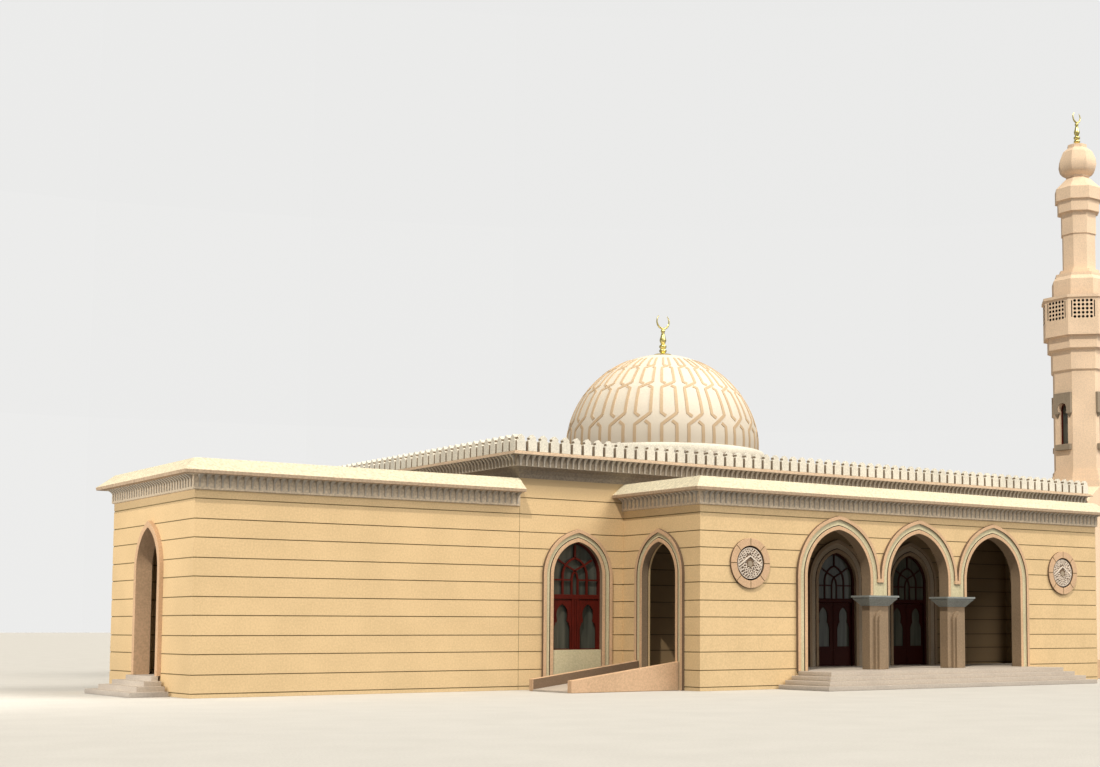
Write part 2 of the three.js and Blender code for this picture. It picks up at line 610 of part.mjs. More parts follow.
function addMinaretTop() {
  const { x, y } = minaret;
  const gallery = octagonal([
    [0, 16.7006], [1.914, 16.7006], [1.914, 18.54], [1.99, 18.56], [1.99, 18.7], [1.62, 18.7],
    [1.62, 17.3], [0, 17.3],
  ], x, y);
  addPiece("minaret_gallery", gallery, stone.pale);
  const upper = octagonal([
    [0, 17.3006], [1.43, 17.3006], [1.43, 19.6], [1.27, 19.8], [1.27, 19.95], [1.04, 19.97],
    [1.04, 20.16], [0.85, 20.18], [0.85, 22], [0.9, 22], [0.9, 23.1], [1.08, 23.12],
    [1.08, 23.7], [1.2, 23.72], [1.2, 24.33], [0.56, 24.96], [0, 24.96],
  ], x, y);
  addPiece("minaret_upper_shaft", upper, stone.pale);
  const bulb = octagonal([
    [0, 24.9606], [0.6, 24.9606], [0.6, 25.06], [0.8, 25.18], [0.92, 25.33], [0.985, 25.59],
    [0.95, 25.87], [0.78, 26.27], [0.5, 26.5], [0.5, 26.67], [0, 26.67],
  ], x, y);
  addPiece("minaret_bulb", bulb, stone.pale);
  const stem = turned([
    [0, 26.6706], [0.1, 26.6706], [0.2, 26.8], [0.1, 26.92], [0.1, 26.98], [0.2, 27.08], [0.08, 27.18],
    [0.17, 27.4], [0.06, 27.75], [0.05, 28], [0, 28],
  ], x, y, 16);
  addPiece("minaret_finial", stem.add(crescent(x, y, 27.96, 0.3, 0.07)), gold);
}

addHallWalls();
addHallFloor();
addHallRoof();
addHallCornice();
addCrenellation();
addDome();
addDomeFinial();
addWing();
addWingSteps();
addPorchWalls();
addPorchPier("porch_pier_left", -porch.archSpacing / 2);
addPorchPier("porch_pier_right", porch.archSpacing / 2);
addRoundel("porch_roundel_left", -porch.roundelX);
addRoundel("porch_roundel_right", porch.roundelX);
addPorchRoof();
addPorchSteps();
addRamp("ramp_left", -1);
addRamp("ramp_right", 1);
addDoors();
addWindow("left", -windowArch.axis);
addWindow("right", windowArch.axis);
addMinaretBase();
addMinaretShaft();
addMinaretTop();

export default building;
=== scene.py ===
"""Dresses the plain mosque model with its stonework, joinery, dome ribs, gilding and finishes.

Sizes are metres of the real building. The model is half that size, so each finished mesh is scaled by METRE.
X runs along the front, Y runs into the building and Z is up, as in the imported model.
"""

import math
from collections import namedtuple

import bpy
from bpy.props import FloatProperty, FloatVectorProperty, IntProperty, PointerProperty, StringProperty
from mathutils import Euler, Matrix, Vector


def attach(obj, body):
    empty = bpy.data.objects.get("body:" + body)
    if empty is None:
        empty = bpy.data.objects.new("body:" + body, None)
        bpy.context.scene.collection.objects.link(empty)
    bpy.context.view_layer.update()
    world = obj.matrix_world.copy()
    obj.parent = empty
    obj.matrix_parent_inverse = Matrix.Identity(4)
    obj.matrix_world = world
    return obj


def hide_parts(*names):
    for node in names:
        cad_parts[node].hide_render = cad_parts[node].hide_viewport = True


bl_info = {
    "name": "Mosque building finishes",
    "version": (1, 0, 0),
    "blender": (4, 5, 0),
    "location": "3D View > Sidebar > Mosque",
    "description": "Adds banded walls, mouldings, joinery, dome ribs and finishes to a mosque model",
    "category": "Object",
}

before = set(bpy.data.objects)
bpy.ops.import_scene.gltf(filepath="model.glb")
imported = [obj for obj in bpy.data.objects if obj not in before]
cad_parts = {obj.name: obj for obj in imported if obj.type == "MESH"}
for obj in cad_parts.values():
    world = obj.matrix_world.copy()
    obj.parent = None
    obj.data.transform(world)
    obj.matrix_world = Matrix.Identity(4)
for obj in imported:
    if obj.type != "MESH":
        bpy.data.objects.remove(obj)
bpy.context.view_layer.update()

# Model metres for one metre of the real building
METRE = 0.5
# Heights of the raised floor and of the line where the large arches start to curve
FLOOR = 0.65
SPRING = 4.2
# Thickness of the wing's and the porch's walls
WALL = 0.45
# Outsides of the three blocks, as least and greatest x, then least and greatest y
HALL = (-15.52, 15.52, 0.0, 25.2)
WING = (-27.6, -15.52, 0.0, 8.1)
PORCH = (-10.91, 10.91, -4.9, 0.0)
# Middles of the dome and the minaret
DOME_AXIS = (0.0, 12.6)
MINARET = (17.93, 1.6)
# The three doorways and arcade arches stand this far apart
ARCH_SPACING = 4.285
SIDES = {"left": -1, "right": 1}
PLACES = {"left": -ARCH_SPACING, "middle": 0.0, "right": ARCH_SPACING}
# Tops of the grooved parts of the hall's walls and of the low walls
HALL_BANDS_TOP = 7.6
LOW_BANDS_TOP = 6.6
# Height of the bottom of the windows
SILL = 1.442

# A pointed arch: its middle, half its opening, its tip, the width of its mouldings and the heights where
# its two sides end
Arch = namedtuple("Arch", "axis half apex band left_foot right_foot")


# Property groups

class MosqueWallSizes(bpy.types.PropertyGroup):
    """Sizes of the shadow grooves that divide the rendered walls into courses."""

    first_groove: FloatProperty(
        name="First groove", description="Height of the lowest groove", default=0.134, unit="LENGTH")
    course_pair: FloatProperty(
        name="Course pair", description="Height of one low and one tall course together",
        default=1.258, unit="LENGTH")
    low_course: FloatProperty(
        name="Low course", description="Height of the lower of each pair of courses",
        default=0.604, unit="LENGTH")
    groove_height: FloatProperty(
        name="Groove height", description="How tall each groove is", default=0.036, unit="LENGTH")
    groove_depth: FloatProperty(
        name="Groove depth", description="How deep each groove is cut", default=0.02, unit="LENGTH")


class MosqueTrimSizes(bpy.types.PropertyGroup):
    """Sizes of the arch mouldings, brackets and merlons."""

    strip_width: FloatProperty(
        name="Outer strip", description="Width of the raised outer strip of an arch",
        default=0.135, unit="LENGTH")
    bracket_pitch: FloatProperty(
        name="Bracket pitch", description="Distance between the small cornice brackets",
        default=0.252, unit="LENGTH")
    merlon_half: FloatProperty(
        name="Merlon half width", description="Half the width of a merlon", default=0.185, unit="LENGTH")
    bar_width: FloatProperty(
        name="Window bar", description="Width of a bar in the arched lights", default=0.072, unit="LENGTH")


class MosqueDomeSizes(bpy.types.PropertyGroup):
    """Shape of the dome and its crossing ribs."""

    radius: FloatProperty(name="Radius", description="Outer radius of the dome", default=4.66, unit="LENGTH")
    spring: FloatProperty(name="Widest height", description="Height where the dome is widest",
                          default=11.1, unit="LENGTH")
    crown: FloatProperty(name="Crown height", description="Height of the dome's top",
                         default=15.53, unit="LENGTH")
    fullness: FloatProperty(name="Fullness", description="2 gives an ellipse; less is slightly flatter",
                            default=1.85)
    rib_pairs: IntProperty(name="Rib pairs", description="How many crossing pairs go round", default=23)
    rib_width: FloatProperty(name="Rib width", description="Width of a rib at the foot", default=0.17,
                             unit="LENGTH")


class MosqueColours(bpy.types.PropertyGroup):
    """Base colours of the finishes, as sRGB hex values."""

    wall: StringProperty(name="Wall render", description="Sand render of the walls", default="D6B98C")
    # The joint colour serves for dark joints, and as painted shade inside the grooves.
    joint: StringProperty(name="Groove", description="Dusty inside of the grooves", default="94805A")
    trim: StringProperty(name="Trim stone", description="Pink stone of strips and ramps", default="C8A684")
    # The pier colour is the piers' own stone, and painted shade on reveals, strips' inner sides and doorways.
    pier: StringProperty(name="Pier stone", description="Browner stone of the piers", default="8C7861")
    hollow: StringProperty(name="Arch hollow", description="Grey-cream stone of the arches", default="C2B896")
    cap: StringProperty(name="Cornice cap", description="Cream cast stone of caps", default="D4CAAE")
    merlon: StringProperty(name="Merlons", description="Pale cast stone of the merlons", default="DAD4C4")
    lip: StringProperty(name="Cornice lip", description="Pinkish edge below the caps", default="B8A086")
    # The frieze colour is lightened as painted light, for the shade under the low caps.
    frieze: StringProperty(name="Frieze", description="Grey-pink stone behind the brackets", default="D6C4AA")
    # The cove colour is partly painted shade, for the shadow under the hall's lip.
    cove: StringProperty(name="Hall frieze", description="Grey-brown stone of the hall's frieze",
                         default="84796A")
    # This colour is painted shade for the render inside the porch.
    porch_shade: StringProperty(name="Sheltered render", description="Render that no rain washes, in the porch",
                              default="846F52")
    # The hood colour is also painted shade on the merlons' sides, the doors' hollows and the hall's frieze.
    hood: StringProperty(name="Hoods", description="Grey-pink stone of hoods and sills", default="988A77")
    bracket: StringProperty(name="Brackets", description="Light stone of small brackets", default="BAB0A0")
    grey: StringProperty(name="Capital", description="Honed grey stone of the capitals", default="868A86")
    pale: StringProperty(name="Pale render", description="Pale render of the minaret", default="E9CEB0")
    dome: StringProperty(name="Dome", description="Cream lime render of the dome", default="E4DAC8")
    rib: StringProperty(name="Ribs", description="Tan ribs of the dome", default="CFB594")
    lattice: StringProperty(name="Lattice", description="Pink-white carved lattice", default="DACCBC")
    step: StringProperty(name="Steps", description="Honed limestone of steps and floors", default="B6AB9E")
    wood: StringProperty(name="Joinery", description="Red-brown varnished wood", default="4E150C")
    glass: StringProperty(name="Glass", description="Grey-green glass before pale curtains", default="3E403A")
    gilt: StringProperty(name="Gilding", description="Gilt metal of the finials", default="F2E292")
    # This colour is painted shade, put in gaps and holes and behind lattices.
    deep_shade: StringProperty(name="Deep gaps", description="Dark brown of gaps and hollows", default="2A2018")


class MosqueLightSettings(bpy.types.PropertyGroup):
    """Camera and lights of the studio."""

    key: FloatProperty(name="Key", description="Strength of the crisp light from the left", default=2.4)
    side: FloatProperty(name="Side", description="Strength of the soft light from the right", default=2.3)
    front: FloatProperty(name="Front", description="Strength of the wide low light in front", default=0.66)
    panel: FloatProperty(name="End panel", description="Power of the panel by the wing's end", default=330.0)
    room: FloatProperty(name="Room", description="Strength of the light from all round", default=0.36)
    paper: FloatProperty(name="Paper", description="Brightness of the pale paper behind", default=0.84)
    focal: FloatProperty(name="Lens", description="Focal length in millimetres", default=53.71)
    place: FloatVectorProperty(name="Camera", description="Camera position", size=3,
                               default=(-46.418, -51.951, 2.240), unit="LENGTH")


GROUPS = {
    "mosque_walls": MosqueWallSizes,
    "mosque_trim": MosqueTrimSizes,
    "mosque_dome": MosqueDomeSizes,
    "mosque_colours": MosqueColours,
    "mosque_light": MosqueLightSettings,
}


# Faces of the building: each turns (along the wall, out of the wall, up) into X, Y, Z

def facing_front(y):
    return lambda along, out, up: (along, y - out, up)


def facing_back(y):
    return lambda along, out, up: (along, y + out, up)


def facing_left(x):
    return lambda along, out, up: (x - out, along, up)


def facing_right(x):
    return lambda along, out, up: (x + out, along, up)


def faces_of(bounds, out):
    """The four faces of a rectangle of walls, each with its start and end, which are moved out."""
    x0, x1, y0, y1 = bounds
    return {
        "front": (facing_front(y0), x0 - out, x1 + out),
        "back": (facing_back(y1), x0 - out, x1 + out),
        "left": (facing_left(x0), y0 - out, y1 + out),
        "right": (facing_right(x1), y0 - out, y1 + out),
    }


def facing_from(x, y, angle):
    """A vertical face through the line x, y that looks in the direction of the angle."""
    outward = Vector((math.cos(angle), math.sin(angle)))
    sideways = Vector((-outward.y, outward.x))

    def place(along, out, up):
        flat = Vector((x, y)) + outward * out + sideways * along
        return (flat.x, flat.y, up)

    return place


# Modelling helpers

def start_clean():
    """Leaves object mode with nothing selected, so that the next operator acts on its own piece alone."""
    if bpy.context.mode != "OBJECT":
        bpy.ops.object.mode_set(mode="OBJECT")
    bpy.ops.object.select_all(action="DESELECT")


def make_active(piece):
    """Selects one piece alone and makes it the active one."""
    start_clean()
    piece.select_set(True)
    bpy.context.view_layer.objects.active = piece
    return piece


def edit_all(piece):
    """Edit mode with the whole piece selected."""
    make_active(piece)
    bpy.ops.object.mode_set(mode="EDIT")
    bpy.ops.mesh.select_all(action="SELECT")


def tidy_mesh(piece):
    """Welds seams and poles, closes open ends and points the faces outwards."""
    edit_all(piece)
    bpy.ops.mesh.remove_doubles(threshold=0.0004)
    bpy.ops.mesh.fill_holes(sides=0)
    bpy.ops.mesh.normals_make_consistent(inside=False)
    bpy.ops.object.mode_set(mode="OBJECT")
    return piece


def shaped_grid(rows, columns, place):
    """A grid whose points go where place(row, column) says, as a net is laid over a form."""
    start_clean()
    bpy.ops.mesh.primitive_grid_add(x_subdivisions=rows - 1, y_subdivisions=columns - 1, size=2)
    piece = bpy.context.object
    for vertex in piece.data.vertices:
        row = round((vertex.co.x + 1) / 2 * (rows - 1))
        column = round((vertex.co.y + 1) / 2 * (columns - 1))
        vertex.co = place(row, column)
    return tidy_mesh(piece)


def plate(outline, wall, near, far):
    """A flat plate with an outline of (along, up) points, from near to far out of the wall."""
    start_clean()
    bpy.ops.mesh.primitive_circle_add(vertices=len(outline), fill_type="NGON")
    piece = bpy.context.object
    for vertex, (along, up) in zip(piece.data.vertices, outline):
        vertex.co = wall(along, near, up)
    reach = Vector(wall(0, far, 0)) - Vector(wall(0, near, 0))
    edit_all(piece)
    bpy.ops.mesh.extrude_region_move(TRANSFORM_OT_translate={"value": reach})
    bpy.ops.mesh.select_all(action="SELECT")
    bpy.ops.mesh.normals_make_consistent(inside=False)
    bpy.ops.object.mode_set(mode="OBJECT")
    return piece


def block(wall, along, out, up):
    """A box between two values along, out of and up the wall."""
    outline = [(along[0], up[0]), (along[1], up[0]), (along[1], up[1]), (along[0], up[1])]
    return plate(outline, wall, out[0], out[1])


def apply_modifier(piece, kind, **settings):
    """Adds a modifier with the given settings and applies it at once."""
    make_active(piece)
    modifier = piece.modifiers.new("work", kind)
    for name, value in settings.items():
        setattr(modifier, name, value)
    bpy.ops.object.modifier_apply(modifier=modifier.name)
    return piece


def soften(piece, width, segments=1):
    """A small bevel on the sharp edges."""
    return apply_modifier(piece, "BEVEL", width=width, segments=segments, limit_method="ANGLE",
                          angle_limit=math.radians(40))


def cut(piece, tool, keep_tool=False):
    """Cuts the tool's shape out of the piece. The cut faces take the tool's material."""
    apply_modifier(piece, "BOOLEAN", operation="DIFFERENCE", object=tool, solver="EXACT",
                   material_mode="TRANSFER")
    if not keep_tool:
        discard(tool)
    return piece


def discard(*tools):
    """Removes tools that have done their cutting."""
    for tool in tools:
        bpy.data.objects.remove(tool)


def join(pieces):
    """One object from several."""
    first = make_active(pieces[0])
    for piece in pieces[1:]:
        piece.select_set(True)
    if len(pieces) > 1:
        bpy.ops.object.join()
    return first


def repeat(piece, count, step):
    """The same piece count times, each moved on by step."""
    return apply_modifier(piece, "ARRAY", count=count, use_relative_offset=False, use_constant_offset=True,
                          constant_offset_displace=step)


def repeat_round(piece, count, centre):
    """The same piece count times round a vertical line."""
    edit_all(piece)
    turn = 2 * math.pi * (count - 1) / count
    bpy.ops.mesh.spin(steps=count - 1, dupli=True, angle=turn, center=(*centre, 0.0), axis=(0, 0, 1))
    bpy.ops.object.mode_set(mode="OBJECT")
    return piece


def copy_of(node):
    """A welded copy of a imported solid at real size."""
    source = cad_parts[node]
    piece = bpy.data.objects.new("work", source.data.copy())
    bpy.context.scene.collection.objects.link(piece)
    piece.data.transform(Matrix.Scale(1 / METRE, 4))
    piece.data.materials.clear()
    edit_all(piece)
    bpy.ops.mesh.remove_doubles(threshold=0.0004)
    bpy.ops.mesh.customdata_custom_splitnormals_clear()
    bpy.ops.object.mode_set(mode="OBJECT")
    return piece


def settle(piece, name, material, body="building", replaces=(), smooth=28.0):
    """Scales the finished piece to the model, names and paints it, and fixes it to its body."""
    make_active(piece)
    bpy.ops.object.transform_apply(location=True, rotation=True, scale=True)
    piece.data.transform(Matrix.Scale(METRE, 4))
    bpy.ops.object.shade_smooth_by_angle(angle=math.radians(smooth))
    piece.name = name
    piece.data.name = name
    if material is not None:
        piece.data.materials.clear()
        piece.data.materials.append(material)
    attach(piece, body)
    if replaces:
        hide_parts(*replaces)
    return piece


def coated(piece, name):
    """Gives the piece its first finish."""
    piece.data.materials.append(finish(name))
    return piece


def mark_faces(piece, chosen, name):
    """Gives the faces whose normal passes a test another finish."""
    piece.data.materials.append(finish(name))
    slot = len(piece.data.materials) - 1
    for face in piece.data.polygons:
        if chosen(face.normal):
            face.material_index = slot
    return piece


def paint(nodes, material):
    """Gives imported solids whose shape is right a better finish."""
    for node in nodes:
        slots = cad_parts[node].data.materials
        slots.clear()
        slots.append(material)


# Shapes shared by several pieces

def arch_path(arch, offset=0.0, steps=22, spring=SPRING):
    """Points (along, up) of a two-centred pointed arch, moved out from the opening by offset.

    The lines further out are drawn a little sharper at the tip, as the photo shows.
    """
    rise = arch.apex - spring
    shift = (rise * rise - arch.half * arch.half) / (2 * arch.half)
    radius = arch.half + shift + offset
    crown = math.sqrt(max(radius * radius - shift * shift, 0.0))
    end = math.atan2(crown, -shift)
    left = []
    for i in range(steps + 1):
        share = i / steps
        angle = math.pi + (end - math.pi) * share
        sharper = offset * (0.14 * share ** 8 - 0.06 * share ** 2)
        left.append((shift + radius * math.cos(angle), spring + radius * math.sin(angle) + sharper))
    right = [(-x, z) for x, z in reversed(left[:-1])]
    reach = arch.half + offset
    points = [(-reach, arch.left_foot), *left, *right, (reach, arch.right_foot)]
    return [(x + arch.axis, z) for x, z in points]


def moulding(arch, profile, wall):
    """A closed profile of (offset from the opening, out of the wall) points carried round an arch."""
    lines = [arch_path(arch, offset) for offset, _ in profile]
    outs = [out for _, out in profile]

    def place(row, column):
        k = column % len(profile)
        along, up = lines[k][row]
        return wall(along, outs[k], up)

    return shaped_grid(len(lines[0]), len(profile) + 1, place)


def ring_moulding(bounds, profile):
    """A closed profile of (out, up) points carried round a rectangle, with mitred corners."""
    x0, x1, y0, y1 = bounds

    def place(row, column):
        out, up = profile[column % len(profile)]
        corner = row % 4
        x = x1 + out if corner in (1, 2) else x0 - out
        y = y1 + out if corner in (2, 3) else y0 - out
        return (x, y, up)

    return shaped_grid(5, len(profile) + 1, place)


def turned(profile, centre, steps=48, start=0.0):
    """A drawn profile of (radius, up) points spun about a vertical line, as on a lathe."""
    start_clean()
    bpy.ops.mesh.primitive_circle_add(vertices=len(profile), fill_type="NOTHING")
    piece = bpy.context.object
    for vertex, (radius, up) in zip(piece.data.vertices, profile):
        vertex.co = (centre[0] + radius * math.cos(start), centre[1] + radius * math.sin(start), up)
    edit_all(piece)
    bpy.ops.mesh.spin(steps=steps, angle=2 * math.pi, center=(*centre, 0.0), axis=(0, 0, 1))
    bpy.ops.mesh.select_all(action="SELECT")
    bpy.ops.mesh.remove_doubles(threshold=0.0004)
    bpy.ops.mesh.delete_loose(use_verts=True, use_edges=True, use_faces=False)
    bpy.ops.object.mode_set(mode="OBJECT")
    return tidy_mesh(piece)


def sideways_of(points, i, closed):
    """The in-plane direction square to a line of (along, up) points, lengthened at a mitre."""
    count = len(points)
    before = points[(i - 1) % count] if closed or i > 0 else points[i]
    after = points[(i + 1) % count] if closed or i < count - 1 else points[i]
    here = Vector(points[i])
    first = (here - Vector(before)).normalized() if before != points[i] else None
    second = (Vector(after) - here).normalized() if after != points[i] else first
    first = first or second
    middle = (first + second).normalized()
    return Vector((-middle.y, middle.x)) / max(middle.dot(second), 0.4)


def strip(points, half_width, wall, near, far, closed=False):
    """A flat bar along a line of (along, up) points, from near to far out of the wall."""
    count = len(points)
    corners = [(-1, near), (-1, far), (1, far), (1, near)]

    def place(row, column):
        i = row % count
        side, out = corners[column % 4]
        spread = sideways_of(points, i, closed) * half_width * side
        return wall(points[i][0] + spread.x, out, points[i][1] + spread.y)

    return shaped_grid(count + 1 if closed else count, 5, place)


def circle_points(along, up, radius, count):
    """Points (along, up) at even steps round a circle."""
    turns = [2 * math.pi * i / count for i in range(count)]
    return [(along + radius * math.cos(a), up + radius * math.sin(a)) for a in turns]


def smooth_line(points, steps=6):
    """More points on a smooth curve through the given ones."""
    ends = [points[0], *points, points[-1]]
    line = []
    for a, b, c, d in zip(ends, ends[1:], ends[2:], ends[3:]):
        a, b, c, d = map(Vector, (a, b, c, d))
        for i in range(steps):
            t = i / steps
            point = 0.5 * (2 * b + (c - a) * t + (2 * a - 5 * b + 4 * c - d) * t * t
                           + (3 * b - a - 3 * c + d) * t ** 3)
            line.append(tuple(point))
    return [*line, tuple(points[-1])]


# Materials

def linear(hex_colour):
    """A linear RGBA colour from an sRGB hex value."""
    channels = [int(hex_colour[i:i + 2], 16) / 255 for i in (0, 2, 4)]
    return (*[c / 12.92 if c <= 0.04045 else ((c + 0.055) / 1.055) ** 2.4 for c in channels], 1.0)


def darker(hex_colour, share):
    """The same colour with each channel multiplied."""
    channels = [min(255, round(int(hex_colour[i:i + 2], 16) * share)) for i in (0, 2, 4)]
    return "".join(f"{c:02X}" for c in channels)


def add_node(tree, kind, links=None, **settings):
    """Adds a node, sets its properties or named inputs, and links inputs to outputs of other nodes."""
    node = tree.nodes.new(kind)
    for name, value in settings.items():
        if hasattr(node, name):
            setattr(node, name, value)
        else:
            node.inputs[name.replace("_", " ")].default_value = value
    for name, output in (links or {}).items():
        tree.links.new(output, node.inputs[name])
    return node


def new_material(name):
    """An empty material with its shader, and the object coordinates that patterns read."""
    material = bpy.data.materials.new(name)
    material.use_nodes = True
    tree = material.node_tree
    shader = tree.nodes["Principled BSDF"]
    place = add_node(tree, "ShaderNodeTexCoord").outputs["Object"]
    return material, tree, shader, place


def two_tones(tree, factor, low, high, spread=(0.35, 0.65)):
    """A ramp between two colours, driven by a pattern."""
    ramp = add_node(tree, "ShaderNodeValToRGB", {0: factor})
    ends = ramp.color_ramp.elements
    ends[0].position, ends[1].position = spread
    ends[0].color, ends[1].color = linear(low), linear(high)
    return ramp.outputs["Color"]


def add_relief(tree, shader, pattern, strength, depth):
    """Raises and sinks the surface by a pattern. The depth is in model metres."""
    bump = add_node(tree, "ShaderNodeBump", {"Height": pattern}, Strength=strength, Distance=depth)
    tree.links.new(bump.outputs["Normal"], shader.inputs["Normal"])


def drawn_out_noise(tree, place, scale, detail):
    """Noise with its own scale along each axis, as in wood grain or hanging cloth."""
    stretched = add_node(tree, "ShaderNodeMapping", {"Vector": place}, Scale=scale).outputs["Vector"]
    noise = add_node(tree, "ShaderNodeTexNoise", {"Vector": stretched}, Scale=1.0, Detail=detail)
    return noise.outputs["Fac"]


def mineral_coat(name, colour, grain_mm, roughness, contrast=0.05, relief=0.35, cloud_m=1.6, mottle_mm=60):
    """A mineral surface: soft clouds of tone from hand work, mottling, and sand grain in relief.

    The mottling is drawn at about the width of two pixels, coarser than the sand, so that it shows.
    """
    material, tree, shader, place = new_material(name)
    clouds = add_node(tree, "ShaderNodeTexNoise", {"Vector": place}, Scale=1 / (cloud_m * METRE), Detail=3.0)
    mottle = add_node(tree, "ShaderNodeTexNoise", {"Vector": place}, Scale=1000 / (mottle_mm * METRE),
                      Detail=2.0)
    both = add_node(tree, "ShaderNodeMix", {2: clouds.outputs["Fac"], 3: mottle.outputs["Fac"]},
                    data_type="FLOAT")
    both.inputs[0].default_value = 0.6
    low, high = darker(colour, 1 - contrast), darker(colour, 1 + contrast)
    tree.links.new(two_tones(tree, both.outputs[0], low, high, (0.38, 0.62)), shader.inputs["Base Color"])
    grain = add_node(tree, "ShaderNodeTexNoise", {"Vector": place}, Scale=1000 / (grain_mm * METRE),
                     Detail=2.0)
    add_relief(tree, shader, grain.outputs["Fac"], relief, grain_mm / 1000 * METRE)
    shader.inputs["Roughness"].default_value = roughness
    shader.inputs["Specular IOR Level"].default_value = 0.2
    return material


def toned(material, colour, *ranges):
    """Turns a coat to another colour where all ranges hold, to lay painted shade there.

    A range is (axis, start, end): the change begins at the start, in real metres from the origin along that
    axis, and is complete at the end.
    """
    tree = material.node_tree
    base = tree.nodes["Principled BSDF"].inputs["Base Color"]
    place = add_node(tree, "ShaderNodeTexCoord").outputs["Object"]
    spot = add_node(tree, "ShaderNodeSeparateXYZ", {0: place})
    share = None
    for axis, start, end in ranges:
        distance = add_node(tree, "ShaderNodeMath", {0: spot.outputs[axis]}, operation="ABSOLUTE")
        change = add_node(tree, "ShaderNodeMapRange", {"Value": distance.outputs[0]}, From_Min=start * METRE,
                          From_Max=end * METRE).outputs["Result"]
        if share is None:
            share = change
        else:
            share = add_node(tree, "ShaderNodeMath", {0: share, 1: change}, operation="MINIMUM").outputs[0]
    tone = add_node(tree, "ShaderNodeMix", {0: share, 6: base.links[0].from_socket}, data_type="RGBA")
    tone.inputs[7].default_value = linear(colour)
    tree.links.new(tone.outputs[2], base)
    return material


MATERIALS = {}


def finish(name):
    """The finish of that name, made when first asked for."""
    if name not in MATERIALS:
        MATERIALS[name] = FINISHES[name](bpy.context.scene.mosque_colours)
    return MATERIALS[name]


# The space that the porch roof covers, and the foot of the dome, as ranges for toned, where painted shade
# goes
UNDER_PORCH_ROOF = [("X", 10.7, 10.6), ("Y", 4.7, 4.6), ("Z", 6.95, 6.85)]
DOME_FOOT = ("Z", 13.6, 11.0)


def sand_coat_shaded_under_cornice(name, colours):
    """Through-coloured render, with painted shade under the hall's wide cornice, where it is darker."""
    material = mineral_coat(name, colours.wall, 12, 0.9, contrast=0.035)
    # Painted shade: the render turns darker towards the top of the hall's walls, under the cornice.
    return toned(material, darker(colours.wall, 0.74), ("Z", 6.9, 7.7))


def sand_render(colours):
    """Render of the outer walls, wood-floated: matt, with a fine sand grain and faint clouds."""
    return sand_coat_shaded_under_cornice("sand_float_render", colours)


def porch_shade_render(colours):
    """The same render with painted shade under the porch roof: darker there, and plain beside and above the
    porch.
    """
    return toned(sand_coat_shaded_under_cornice("sand_float_render_porch_shade", colours), colours.porch_shade, *UNDER_PORCH_ROOF)


def shadow_joint(colours):
    """Inside of a rendered groove: the same coat darker, as painted shade, and darkest under the porch roof.
    """
    material = mineral_coat("render_joint_and_shade", colours.joint, 12, 0.95)
    # Painted shade: darker still where the porch roof covers the grooves.
    return toned(material, darker(colours.porch_shade, 0.7), *UNDER_PORCH_ROOF)


def pink_cast_stone(colours):
    """Cast stone with pink sand, acid-etched: a close grain and a dry surface."""
    return mineral_coat("etched_pink_cast_stone", colours.trim, 8, 0.82)


def shaded_edge_stone(colours):
    """The pink cast stone darkened to brown as painted shade: strips' sides, ramps' insides, carved ground.
    """
    return mineral_coat("cast_stone_shaded_edge", darker(colours.trim, 0.58), 8, 0.9)


def brown_cast_stone_and_shade(colours):
    """Cast stone with brown sand, acid-etched, darker than the pink: piers, with painted shade on reveals and
    door strips.
    """
    return mineral_coat("etched_brown_cast_stone_and_shade", colours.pier, 8, 0.82)


def grey_cream_stone(colours):
    """Cast stone with grey-cream sand, trowelled smooth in the hollow of the arches."""
    return mineral_coat("smooth_grey_cream_cast_stone", colours.hollow, 6, 0.78)


def pale_cast_stone(colours):
    """Pale cast stone of the merlons and the dome's foot, fine and slightly chalky."""
    return mineral_coat("fine_pale_cast_stone", colours.merlon, 8, 0.85, contrast=0.06)


def bracket_stone(colours):
    """Light cast stone of the small brackets, smooth from its mould."""
    return mineral_coat("moulded_light_cast_stone", colours.bracket, 8, 0.85)


def hood_stone_and_shade(colours):
    """Grey-pink cast stone of hoods and sills, and painted shade on the merlons' sides, the doors' hollows
    and the hall's frieze.
    """
    return mineral_coat("cast_hood_stone_and_shade", colours.hood, 8, 0.85)


def honed_grey_stone(colours):
    """Grey stone, honed: even, cool and a little shiny."""
    return mineral_coat("honed_grey_stone", colours.grey, 5, 0.5, contrast=0.07, relief=0.1)


def pale_render(colours):
    """Pale lime render of the minaret, brushed on in a fine coat."""
    return mineral_coat("brushed_lime_render", colours.pale, 10, 0.88, contrast=0.04)


def dome_render(colours):
    """Cream lime render of the dome, slightly polished, darker at its foot as painted shade."""
    material = mineral_coat("polished_lime_render", colours.dome, 8, 0.7, contrast=0.03, relief=0.2)
    # Painted shade: darker towards the dome's foot.
    return toned(material, darker(colours.dome, 0.84), DOME_FOOT)


def rib_render(colours):
    """Tan render laid on the dome as raised ribs, darker at the foot as painted shade, like the shell."""
    material = mineral_coat("tan_lime_render", colours.rib, 8, 0.8)
    return toned(material, darker(colours.rib, 0.84), DOME_FOOT)


def carved_stone(colours):
    """Pink-white stone of the carved lattices, sawn and rubbed."""
    return mineral_coat("rubbed_pink_white_stone", colours.lattice, 6, 0.8, contrast=0.06)


def honed_limestone(colours):
    """Limestone slabs, honed: pale beds and veins drawn out along the slab."""
    return mineral_coat("honed_limestone", colours.step, 6, 0.6, contrast=0.04, relief=0.12)


def roof_screed(colours):
    """Sand and cement screed of the flat roofs, a little dusty."""
    return mineral_coat("cement_roof_screed", darker(colours.step, 0.92), 14, 0.95, contrast=0.12)


def deep_shade_render(colours):
    """Dark brown painted shade, put in gaps and holes and behind the carved lattice."""
    return mineral_coat("deep_shade_brown_render", colours.deep_shade, 10, 0.95)


